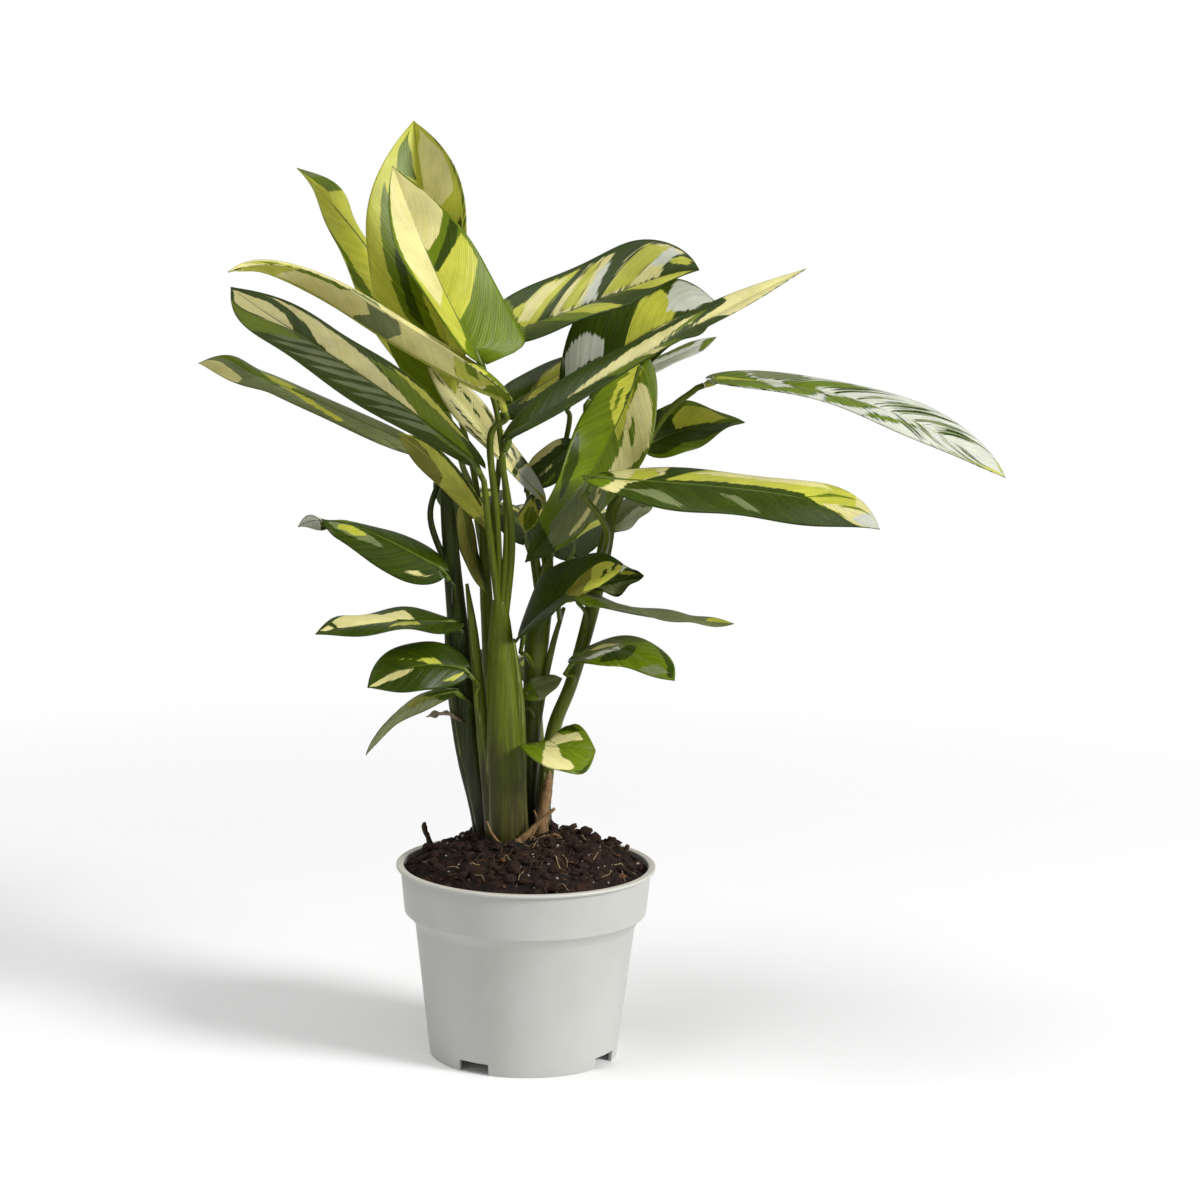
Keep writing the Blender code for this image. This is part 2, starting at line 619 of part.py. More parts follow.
def add_shoot(name, trunks, group, material):
    """A shoot: its sheathed stems and the stalks of its leaves, fused."""
    tubes = []
    for i, trunk in enumerate(trunks):
        path, radii = smooth_path([Vector(p) for p in trunk.points], trunk.radii, 1)
        tubes.append(tube(name if i == 0 else f"{name}_{i}", path, radii, TRUNK_SIDES, group))
    stalks = [stalk_tube(row, group) for row in LEAVES if row.shoot == name]
    fuse(tubes[0], tubes[1:] + stalks)
    tubes[0].data.materials.append(material)
    return tubes[0]


def add_holes(group):
    """A cutter for each stem: the stem's foot, a gap wider all round and below."""
    for name, trunks in SHOOTS.items():
        for i, trunk in enumerate(trunks):
            if trunk.points[0][2] > HOLE_DEPTH_Z:
                continue
            path, radii = smooth_path([Vector(p) for p in trunk.points], trunk.radii, 1)
            path[0] = path[0] - (path[1] - path[0]).normalized() * GAP
            hole = tube(f"hole_{name}_{i}", path, [r + GAP for r in radii], TRUNK_SIDES, group)
            as_cutter(hole)


def main():
    clear_scene()
    plant = new_collection("Potted ctenanthe")
    cutters = new_collection("Pot cutters")
    holes = new_collection("Stem holes")
    leaf_material = {
        LEAF_GREEN: principled("leaf_green", LEAF_GREEN, 0.38),
        LEAF_LIME: principled("leaf_lime", LEAF_LIME, 0.38),
        DRY_BROWN: principled("leaf_dried", DRY_BROWN, 0.8),
    }
    add_pot(plant, cutters, principled("pot_grey", POT_GREY, 0.42))
    add_holes(holes)
    add_soil(plant, holes, principled("peat", PEAT_BROWN, 0.95))
    stem_material = principled("stem_green", STEM_GREEN, 0.5)
    for name, trunks in SHOOTS.items():
        add_shoot(name, trunks, plant, stem_material)
    for row in LEAVES:
        add_leaf(row, plant, leaf_material)


main()
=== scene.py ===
import math
from collections import namedtuple

import bmesh
import bpy
import numpy as np
from mathutils import Matrix, Vector, noise


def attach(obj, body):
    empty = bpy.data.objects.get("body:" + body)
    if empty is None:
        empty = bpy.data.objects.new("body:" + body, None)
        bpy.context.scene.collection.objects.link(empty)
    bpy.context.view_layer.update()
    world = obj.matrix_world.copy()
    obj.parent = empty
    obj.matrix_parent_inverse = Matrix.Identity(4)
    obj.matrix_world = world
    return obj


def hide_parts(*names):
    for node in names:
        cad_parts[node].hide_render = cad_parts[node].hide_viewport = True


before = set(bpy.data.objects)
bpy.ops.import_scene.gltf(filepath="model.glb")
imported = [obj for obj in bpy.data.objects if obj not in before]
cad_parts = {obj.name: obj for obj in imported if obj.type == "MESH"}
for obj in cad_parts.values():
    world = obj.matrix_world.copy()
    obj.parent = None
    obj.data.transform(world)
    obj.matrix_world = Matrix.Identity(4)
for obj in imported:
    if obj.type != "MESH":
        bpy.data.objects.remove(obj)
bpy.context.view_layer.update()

MM = 0.001

# The camera stands where the photograph was taken from.
CAMERA_PLACE = (0.0373, -1.822, 0.556)
CAMERA_PITCH = -9.55
CAMERA_ROLL = 1.05
CAMERA_LENS = 104
SENSOR_WIDTH = 36

# Studio light: how bright the room is, and each lamp's place in metres, size and watts
SKY_LIGHT = 0.3
LAMPS = (
    ("key", (3.1, -1.6, 2.0), 1.4, 152.0),
    ("fill", (-2.2, -3.0, 1.5), 2.0, 8.0),
    ("top", (-1.0, -0.4, 3.0), 2.2, 42.0),
)
LAMP_AIM = (0.04, 0.03, 0.25)

# The paper's half-side, and where it starts to thin out and is gone, in metres
FLOOR_REACH = 12.0
PAPER_THINS_FROM = 0.45
PAPER_ENDS = 1.0

# Pot: the same moulding as the solid one, with more sides and rounded corners
POT_HEIGHT = 104.5
POT_WALL = 1.6
RIM_RADIUS = 70.0
LIP_HEIGHT = 1.7
LIP_INNER_RADIUS = 66.0
BAND_TOP_RADIUS = 67.6
BAND_LOW_RADIUS = 65.3
BAND_LOW_Z = 79.5
STEP_RADIUS = 59.4
STEP_Z = 72.5
FOOT_RADIUS = 50.9
FLOOR_THICK = 2.0
CHANNEL_TOP_Z = 7.0
CHANNEL_INNER_RADIUS = 35.0
NOTCH_COUNT = 4
NOTCH_FIRST_ANGLE = -120.0
NOTCH_WIDTH = 18.0
NOTCH_HEIGHT = 6.3
DRAIN_RADIUS = 4.0
DRAIN_AT_RADIUS = 42.0
DRAIN_SIDES = 24
POT_STEPS = 144
CORNER_STEPS = 4
RIM_ROUND = 0.6
LIP_ROUND = 0.5
BAND_ROUND = 0.9
FOOT_ROUND = 0.5
SHARP_FROM = 32

# Soil: peat, mounded round the stems, with finer lumps than the solid one
SOIL_EDGE_Z = 101.6
SOIL_RADIUS = 65.7
SOIL_MOUND = 17.4
SOIL_MOUND_POWER = 3.0
SOIL_LUMP = 1.6
SOIL_LUMP_SPACING = 13.0
SOIL_MOUND_RADIUS = 61.0
SOIL_LUMP_SEED = Vector((3.7, 1.9, 8.2))
SOIL_STEPS = 180
SOIL_RING_COUNT = 60
SOIL_RING_CROWDING = 0.9
SOIL_CRUMBS = ((5.0, 1.7), (2.3, 1.5))
SOIL_GRAIN_SPACING = 1.1
SOIL_GRAIN = 0.8
SOIL_EDGE_ROUGH = 0.25
SOIL_EDGE_FADE = 4
SOIL_PLUG = ((BAND_LOW_RADIUS - 2.2, BAND_LOW_Z), (STEP_RADIUS - 2.2, STEP_Z), (FOOT_RADIUS - 1.2, 10.0))

# What lies loose on the peat: how far it keeps from the stems and from the pot's wall
FOOT_CLEARANCE = 1.5
CRUMB_MARGIN = 3
FIBRE_MARGIN = 10
FIBRE_END_MARGIN = 4

# Crumbs: most are small, and each is lumpy, stretched, tilted and sunk into the peat
CRUMB_SMALLNESS = 2.2
CRUMB_LUMP = 0.55
CRUMB_LUMP_SCALE = 1.3
CRUMB_NOISE_STEP = 7.1
CRUMB_STRETCH = (0.8, 1.4)
CRUMB_TILT = 0.5
CRUMB_RISE = 0.25

# Fibres bend, arch over the lumps and taper. Sticks are kinked and knotty.
FIBRE_STEPS = 5
FIBRE_SIDES = 6
FIBRE_BEND = 1.4
FIBRE_ARCH = (0.3, 1.6)
FIBRE_RISE = 0.4
FIBRE_TAPER = 0.5
KINK_SHIFT = Vector((17.3, 5.9, 11.7))
STICK_SIDES = 10
STICK_KINK = 0.5
STICK_KINK_SPACING = 4
STICK_KNOT = 0.3
STICK_KNOT_SPACING = 2.2

# Leaf blades
BLADE_THICK = 0.55
GRID_SPACING = 1.5
LEAST_ROWS = 12
LEAST_COLUMNS = 8
END_CROWDING = 0.35
RIB_STEPS = 48
HOOK_POWER = 5
TIP_TURN_FROM = 0.7
WAVES = 1.6
SIDE_PHASE = 0.25
BASE_SHARE = 0.08
TIP_SHARE = 0.04
TIP_FADE = 1.4
BASE_ROUNDNESS = 2.6
TIP_POWER = 2.3
LOBE_SHARE = 0.16
LOBE_FADE = 6
LOBE_SPREAD = 1.6

# Side veins: they lean forwards from the rib, and more so further out
VEIN_LEAN = 1.25
VEIN_AT_RIB = 0.75
VEIN_SWEEP = 0.35
RIDGE_SPACING = 7.5
RIDGE_HEIGHT = 0.16

# Rib: the groove along its upper side
RIB_GROOVE = 0.45
RIB_GROOVE_WIDTH = 1.3

# Stalks: a long blade has a thicker one. The joint and the rib are these shares of it thick,
# the rib at shares of its length. The last two sink the rib into the groove and set it out.
STALK_SIDES = 14
STALK_RADIUS = 0.85
STALK_GAIN = 0.0045
STALK_PULL = 1.4
STALK_GAP = 0.3
STALK_STRAIGHT = 4.0
STALK_FOOT = 1.35
STALK_MIDDLE = 1.15
KNEE_LENGTH = 9.0
KNEE_SWELL = (1.0, 1.25, 1.1)
RIB_TAPER = ((0.08, 0.8), (0.18, 0.55), (0.4, 0.42), (0.65, 0.32), (0.86, 0.2), (0.97, 0.1))
RIB_SINK = 0.6
RIB_STANDS_OUT = 0.3

# Stems: sheaths wrapped round one another, with where their margins start and how they wind
TRUNK_SIDES = 36
SHEATH_FIRST = 0.9
SHEATH_STEP = 2.3
SHEATH_DRIFTS = (1.6, -1.1, 0.7)
SHEATH_SWELL = 0.1
SHEATH_SWELL_SPREAD = 1.1
SHEATH_MARGIN_SPREAD = 0.22

# A tube of a shoot: the points that it follows and its radius at each
Tube = namedtuple("Tube", "points radii")

# The leaves' colours, each of which picks a set of skins
LEAF_GREEN = "leaf_green"
LEAF_LIME = "leaf_lime"
DRY_BROWN = "leaf_dried"

# base: where the blade starts. aim: degrees round from +X and above level in which its rib
# sets out. bend: how far the rib droops and turns left by its tip. size: length and
# greatest width. roll: the blade's turn about its rib. fold: how far each half is lifted
# towards the upper face. start and via: where the stalk leaves the shoot, and what it passes.
# curl: how far each half bends back down by its edge. twist: the roll's change from base to
# tip. tip_turn and hook: more roll and more droop, towards the tip alone. wave and phase:
# how far the edge swings, and where along it. widest: where along the rib the blade is
# widest. skew: how much wider than the mean the right half is. colour: which skins it takes.
FIELDS = "name shoot base aim bend size roll fold start via curl twist tip_turn hook wave phase"
FIELDS += " widest skew colour"
Leaf = namedtuple("Leaf", FIELDS, defaults=((), 20, 0, 0, 0, 1.2, 0, 0.4, 0, LEAF_GREEN))


def leaf(name, shoot, **shape):
    """A leaf's row, with its places as vectors."""
    for key in ("base", "start"):
        shape[key] = Vector(shape[key])
    shape["via"] = tuple(Vector(place) for place in shape.get("via", ()))
    return Leaf(name, shoot, **shape)


SHOOTS = {
    "shoot_front": (
        Tube(((-9, -2, 92), (-10, -2, 121), (-12, -2, 162), (-14, -2, 205), (-15, -2, 232), (-16, -3, 249)),
             (10.5, 10.5, 9.6, 7.6, 5.6, 3.4)),
        Tube(((-17, -1, 92), (-18, -1, 124), (-25, 0, 185), (-30, 3, 229), (-34, 6, 256)),
             (4.4, 4.2, 3.4, 2.6, 0.9)),
        Tube(((-3, -3, 92), (-4, -2, 123), (-5, -2, 190), (-9, -3, 228)),
             (4.6, 4.4, 3.0, 1.4)),
    ),
    "shoot_left": (
        Tube(((-21, 14, 92), (-22, 14, 123), (-31, 12, 169), (-40, 11, 246), (-45, 10, 300), (-47, 10, 318)),
             (6.6, 6.8, 6.8, 4.8, 3.4, 1.8)),
        Tube(((-26, 13, 92), (-27, 13, 124), (-36, 10, 164), (-41, 9, 200), (-45, 9, 236)),
             (2.8, 2.8, 3.0, 3.4, 1.2)),
    ),
    "shoot_middle": (
        Tube(((0, 27, 92), (1, 26, 134), (2, 24, 190), (4, 22, 223), (8, 20, 248), (10, 19, 268)),
             (3.8, 4.2, 5.2, 6.2, 4.4, 1.8)),
        Tube(((2, 25, 150), (6, 23, 188), (12, 19, 220), (18, 18, 242)),
             (1.6, 2.2, 1.7, 1.0)),
    ),
    "shoot_right": (
        Tube(((7, 18, 92), (8, 18, 129), (13, 17, 173), (23, 15, 202), (33, 15, 241), (40, 16, 277),
              (44, 18, 303)),
             (4.2, 4.2, 3.7, 3.4, 3.8, 3.6, 2.2)),
        Tube(((6, 14, 92), (7, 14, 126), (9, 14, 152)),
             (2.6, 2.4, 0.9)),
    ),
    "shoot_back_left": (
        Tube(((-15, 34, 92), (-16, 33, 118), (-20, 30, 188), (-24, 30, 244), (-27, 32, 288)),
             (5.0, 5.0, 4.4, 3.2, 1.8)),
    ),
    "shoot_back_right": (
        Tube(((10, 37, 92), (8, 38, 120), (2, 42, 190), (4, 46, 240), (12, 50, 275)),
             (4.8, 4.8, 4.0, 3.2, 1.8)),
    ),
}

LEAVES = (
    leaf("leaf_crown_front", "shoot_front", base=(-31, -5, 382), aim=(145, 54), bend=(-7, -9),
         size=(111, 60), roll=-17, fold=30, start=(-15, -4, 240), via=((-13, -5, 292), (-18, -6, 345)),
         curl=13, twist=-41, widest=0.04),
    leaf("leaf_crown_back", "shoot_back_left", base=(-43, 35, 356), aim=(128, 72), bend=(-2, -5),
         size=(149, 73), roll=-53, fold=42, start=(-25, 31, 262), via=((-32, 34, 312),),
         curl=7, twist=39, wave=0.6, phase=0.3, widest=0.54, colour=LEAF_LIME),
    leaf("leaf_left_upright", "shoot_back_left", base=(-43, 77, 321), aim=(168, 76), bend=(34, 10),
         size=(178, 38), roll=-40, fold=-22, start=(-26, 31, 268), via=((-33, 50, 298),),
         curl=50, twist=-19, tip_turn=-72, wave=6.0, phase=0.27, widest=0.57, skew=0.07),
    leaf("leaf_left_long", "shoot_front", base=(-17, -20, 359), aim=(-159, 23), bend=(-19, 20),
         size=(173, 42), roll=-11, fold=46, start=(-16, -3, 244), via=((-18, -5, 292), (-22, -11, 336)),
         twist=7, hook=53, wave=0.7, phase=0.14, colour=LEAF_LIME),
    leaf("leaf_left_broad", "shoot_front", base=(-31, -12, 325), aim=(-159, 40), bend=(15, 20),
         size=(169, 50), roll=22, fold=4, start=(-15, -3, 234), via=((-22, -9, 287),),
         curl=11, twist=-5, hook=-8, wave=1.8, phase=-0.1, widest=0.7),
    leaf("leaf_left_low", "shoot_left", base=(-55, 18, 325), aim=(-170, 24), bend=(-3, 23),
         size=(138, 31), roll=-21, fold=3, start=(-42, 10, 258), via=((-54, 10, 290),),
         hook=25, tip_turn=-62, wave=-0.4, phase=0.3, widest=0.48),
    leaf("leaf_left_inner", "shoot_front", base=(-21, 1, 286), aim=(-179, 59), bend=(28, -3),
         size=(72, 20), roll=52, fold=0, start=(-15, -1, 238),
         twist=55, wave=0.5, phase=0.07, widest=0.53, colour=LEAF_LIME),
    leaf("leaf_centre_pale", "shoot_middle", base=(5, 14, 302), aim=(191, 48), bend=(-3, -1),
         size=(97, 19), roll=-58, fold=23, start=(9, 19, 258), via=((10, 25, 278),),
         curl=13, twist=-50, phase=-0.1, widest=0.57, colour=LEAF_LIME),
    leaf("leaf_right_upper", "shoot_back_left", base=(-23, 36, 385), aim=(14, 17), bend=(-13, -46),
         size=(121, 59), roll=32, fold=28, start=(-25, 31, 262), via=((-18, 34, 330),),
         twist=9, hook=26, wave=1.8, phase=0.34, widest=0.61),
    leaf("leaf_right_broad", "shoot_middle", base=(23, 44, 358), aim=(19, 46), bend=(33, -4),
         size=(92, 57), roll=40, fold=27, start=(8, 20, 250), via=((14, 34, 310), (19, 40, 340)),
         curl=7, twist=34, wave=6.0, widest=0.53, colour=LEAF_LIME),
    leaf("leaf_right_tucked", "shoot_back_right", base=(35, 56, 358), aim=(16, 18), bend=(-6, 6),
         size=(72, 23), roll=8, fold=12, start=(9, 48, 262), via=((27, 54, 322),),
         twist=27),
    leaf("leaf_right_folded", "shoot_front", base=(-11, -10, 338), aim=(-7, 35), bend=(13, 39),
         size=(184, 34), roll=14, fold=29, start=(-14, -3, 232), via=((-10, -5, 282),),
         curl=33, twist=-9, phase=0.2, widest=0.21),
    leaf("leaf_right_dark", "shoot_back_right", base=(-17, 60, 344), aim=(11, 34), bend=(5, -11),
         size=(64, 27), roll=37, fold=11, start=(5, 47, 248), via=((-6, 54, 312),),
         twist=-19, wave=-0.4, widest=0.26),
    leaf("leaf_centre_hanging", "shoot_right", base=(56, 13, 373), aim=(-166, -72), bend=(-25, 2),
         size=(121, 42), roll=-91, fold=24, start=(43, 17, 294), via=((50, 18, 335),),
         curl=0, twist=-10, wave=-6.8, phase=-0.52, skew=0.07),
    leaf("leaf_right_small", "shoot_right", base=(62, 22, 331), aim=(16, 26), bend=(29, -2),
         size=(55, 32), roll=40, fold=20, start=(43, 18, 292), via=((54, 22, 316),),
         curl=13, twist=-42, wave=2.4, phase=-0.26, widest=0.29),
    leaf("leaf_right_far", "shoot_right", base=(99, 6, 368), aim=(4, 0), bend=(32, -38),
         size=(164, 50), roll=9, fold=12, start=(43, 17, 296), via=((68, 11, 345),),
         wave=-0.9, widest=0.55, colour=LEAF_LIME),
    leaf("leaf_right_level", "shoot_right", base=(35, -23, 318), aim=(10, -3), bend=(-1, -53),
         size=(158, 51), roll=20, fold=-2, start=(38, 15, 268), via=((40, -8, 289),),
         curl=12, twist=17, hook=25, wave=1.9, phase=0.14, widest=0.44),
    leaf("leaf_right_under", "shoot_right", base=(61, 28, 300), aim=(-170, -23), bend=(34, 2),
         size=(30, 26), roll=-22, fold=6, start=(43, 17, 296), via=((52, 22, 317),)),
    leaf("leaf_centre_inner", "shoot_middle", base=(21, 30, 328), aim=(-169, -35), bend=(18, -2),
         size=(36, 20), roll=-60, fold=6, start=(9, 19, 262), via=((15, 24, 302),)),
    leaf("leaf_centre_young", "shoot_middle", base=(2, 25, 300), aim=(-168, -56), bend=(35, 0),
         size=(20, 18), roll=-24, fold=6, start=(9, 19, 256), via=((4, 23, 284),),
         colour=LEAF_LIME),
    leaf("leaf_low_centre", "shoot_middle", base=(-3, 6, 230), aim=(-35, 51), bend=(35, 10),
         size=(76, 44), roll=38, fold=24, start=(3, 22, 205), via=((-1, 12, 216),),
         twist=6, wave=1.9),
    leaf("leaf_low_centre_back", "shoot_right", base=(33, 3, 258), aim=(5, 10), bend=(1, -16),
         size=(28, 18), roll=54, fold=17, start=(28, 15, 224), via=((30, 7, 240),),
         curl=15, wave=4.8, phase=-0.23),
    leaf("leaf_low_right_thin", "shoot_middle", base=(25, -6, 251), aim=(5, -17), bend=(-18, -12),
         size=(85, 21), roll=2, fold=25, start=(16, 18, 236),
         curl=28, twist=-21, tip_turn=72, wave=-1.9, widest=0.26),
    leaf("leaf_low_right_curled", "shoot_right", base=(25, 2, 218), aim=(-15, 28), bend=(73, -38),
         size=(67, 31), roll=18, fold=7, start=(20, 15, 196), via=((24, 8, 206),),
         hook=-24, phase=-0.08),
    leaf("leaf_low_right_pale", "shoot_middle", base=(-2, 8, 196), aim=(-5, 30), bend=(10, 0),
         size=(22, 14), roll=50, fold=6, start=(3, 23, 178), via=((0, 14, 187),)),
    leaf("leaf_low_round", "shoot_right", base=(4, -9, 172), aim=(-34, 3), bend=(13, 59),
         size=(34, 40), roll=26, fold=9, start=(10, 17, 156), via=((8, 5, 160),),
         twist=54, widest=0.56),
    leaf("leaf_low_left_broad", "shoot_left", base=(-48, -5, 266), aim=(-181, 30), bend=(13, -6),
         size=(82, 33), roll=-27, fold=-11, start=(-41, 11, 240),
         curl=28, twist=37, hook=55, tip_turn=117, wave=-0.7, widest=0.26),
    leaf("leaf_low_left_striped", "shoot_left", base=(-41, -5, 237), aim=(-141, 9), bend=(15, 2),
         size=(89, 36), roll=-10, fold=11, start=(-38, 11, 216),
         wave=2.1, phase=-0.33),
    leaf("leaf_low_left_oval", "shoot_front", base=(-35, -5, 212), aim=(-163, 18), bend=(54, 2),
         size=(55, 29), roll=-54, fold=4, start=(-24, 0, 176), via=((-28, -4, 196),),
         twist=-6, phase=-0.32, widest=0.45),
    leaf("leaf_low_left_drooping", "shoot_left", base=(-40, -2, 199), aim=(-167, -4), bend=(63, -1),
         size=(61, 18), roll=37, fold=0, start=(-34, 12, 178),
         curl=27, twist=-17, wave=0.8),
    leaf("leaf_low_left_dried", "shoot_left", base=(-43, 2, 186), aim=(-174, -4), bend=(10, 0),
         size=(12, 6), roll=-12, fold=20, start=(-35, 9, 172),
         colour=DRY_BROWN),
    leaf("leaf_centre_olive", "shoot_back_left", base=(-37, 21, 296), aim=(7, -85), bend=(-22, -8),
         size=(50, 19), roll=-152, fold=16, start=(-27, 31, 280), via=((-33, 28, 304),),
         twist=-10, wave=0.6),
    leaf("leaf_back_left", "shoot_back_left", base=(-38, 52, 287), aim=(88, 20), bend=(55, 4),
         size=(118, 40), roll=8, fold=12, start=(-26, 31, 252), via=((-34, 42, 274),)),
    leaf("leaf_back_right", "shoot_back_right", base=(22, 66, 264), aim=(86, 24), bend=(50, -2),
         size=(124, 44), roll=-8, fold=12, start=(4, 46, 242), via=((14, 57, 256),)),
    leaf("leaf_back_middle", "shoot_back_right", base=(-4, 64, 272), aim=(96, 26), bend=(60, 4),
         size=(112, 38), roll=4, fold=12, start=(4, 46, 240), via=((0, 56, 262),)),
    leaf("leaf_back_low_left", "shoot_back_left", base=(-27, 46, 206), aim=(118, 18), bend=(60, 0),
         size=(78, 28), roll=6, fold=10, start=(-21, 31, 196)),
    leaf("leaf_back_low_right", "shoot_back_right", base=(-4, 60, 196), aim=(100, 20), bend=(62, 0),
         size=(80, 26), roll=-6, fold=10, start=(2, 42, 186)),
)


# Dry bits round the stems' feet and twigs that stand up out of the peat
DRY_STICKS = (
    Tube(((-5, -13, 119), (4, -13, 127), (15, -12, 138)), (2.0, 1.5, 0.8)),
    Tube(((6, 3, 112), (9, 5, 132), (11, 8, 148), (12, 9, 154)), (3.6, 3.2, 2.2, 0.6)),
    Tube(((-13, -13, 118), (-18, -15, 124), (-21, -15, 131)), (0.9, 0.7, 0.4)),
    Tube(((2, -11, 120), (6, -9, 130), (4, -8, 136)), (1.0, 0.8, 0.4)),
    Tube(((9, -6, 117), (15, -9, 123), (19, -9, 121)), (1.2, 0.9, 0.5)),
)
TWIGS = (
    Tube(((-51, 20, 99), (-53, 19, 110), (-56, 18, 119), (-56, 18, 122)), (1.9, 1.7, 1.4, 0.8)),
    Tube(((53, 12, 99), (54, 12, 107), (55, 12, 113)), (2.4, 2.0, 1.2)),
    Tube(((20, 30, 108), (23, 31, 116), (27, 31, 119)), (2.2, 2.0, 1.2)),
    Tube(((-38, -28, 106), (-32, -31, 108), (-24, -32, 109)), (0.9, 1.0, 0.6)),
    Tube(((28, -34, 106), (36, -30, 108), (43, -29, 105)), (1.1, 0.9, 0.6)),
    Tube(((12, -40, 108), (20, -43, 110), (27, -42, 106)), (0.9, 0.9, 0.5)),
)

# The markings. A mark is a colour and the corners of its patch: along the rib from 0 at the
# base to 1 at the tip, and across the blade from -1 at its left edge to 1 at its right. The
# first word is the colour of the rest of the blade. A later mark covers an earlier one.
GROUND = "dark"
COLOURS = ("mid", "olive", "grey", "lime", "cream", "white")
WHOLE_BLADE = 60.0


def slivers(colour, first, last, count, side, width=0.02):
    """Thin stripes along the side veins of one side, from near the rib most of the way out."""
    stripes = []
    for i in range(count):
        root = first + (last - first) * i / max(count - 1, 1)
        near = ((root, 0.06 * side), (root + width, 0.06 * side))
        far = ((root + width + 0.08, 0.5 * side), (root + 0.17, 0.9 * side), (root + 0.06, 0.5 * side))
        stripes.append((colour, *near, *far))
    return stripes


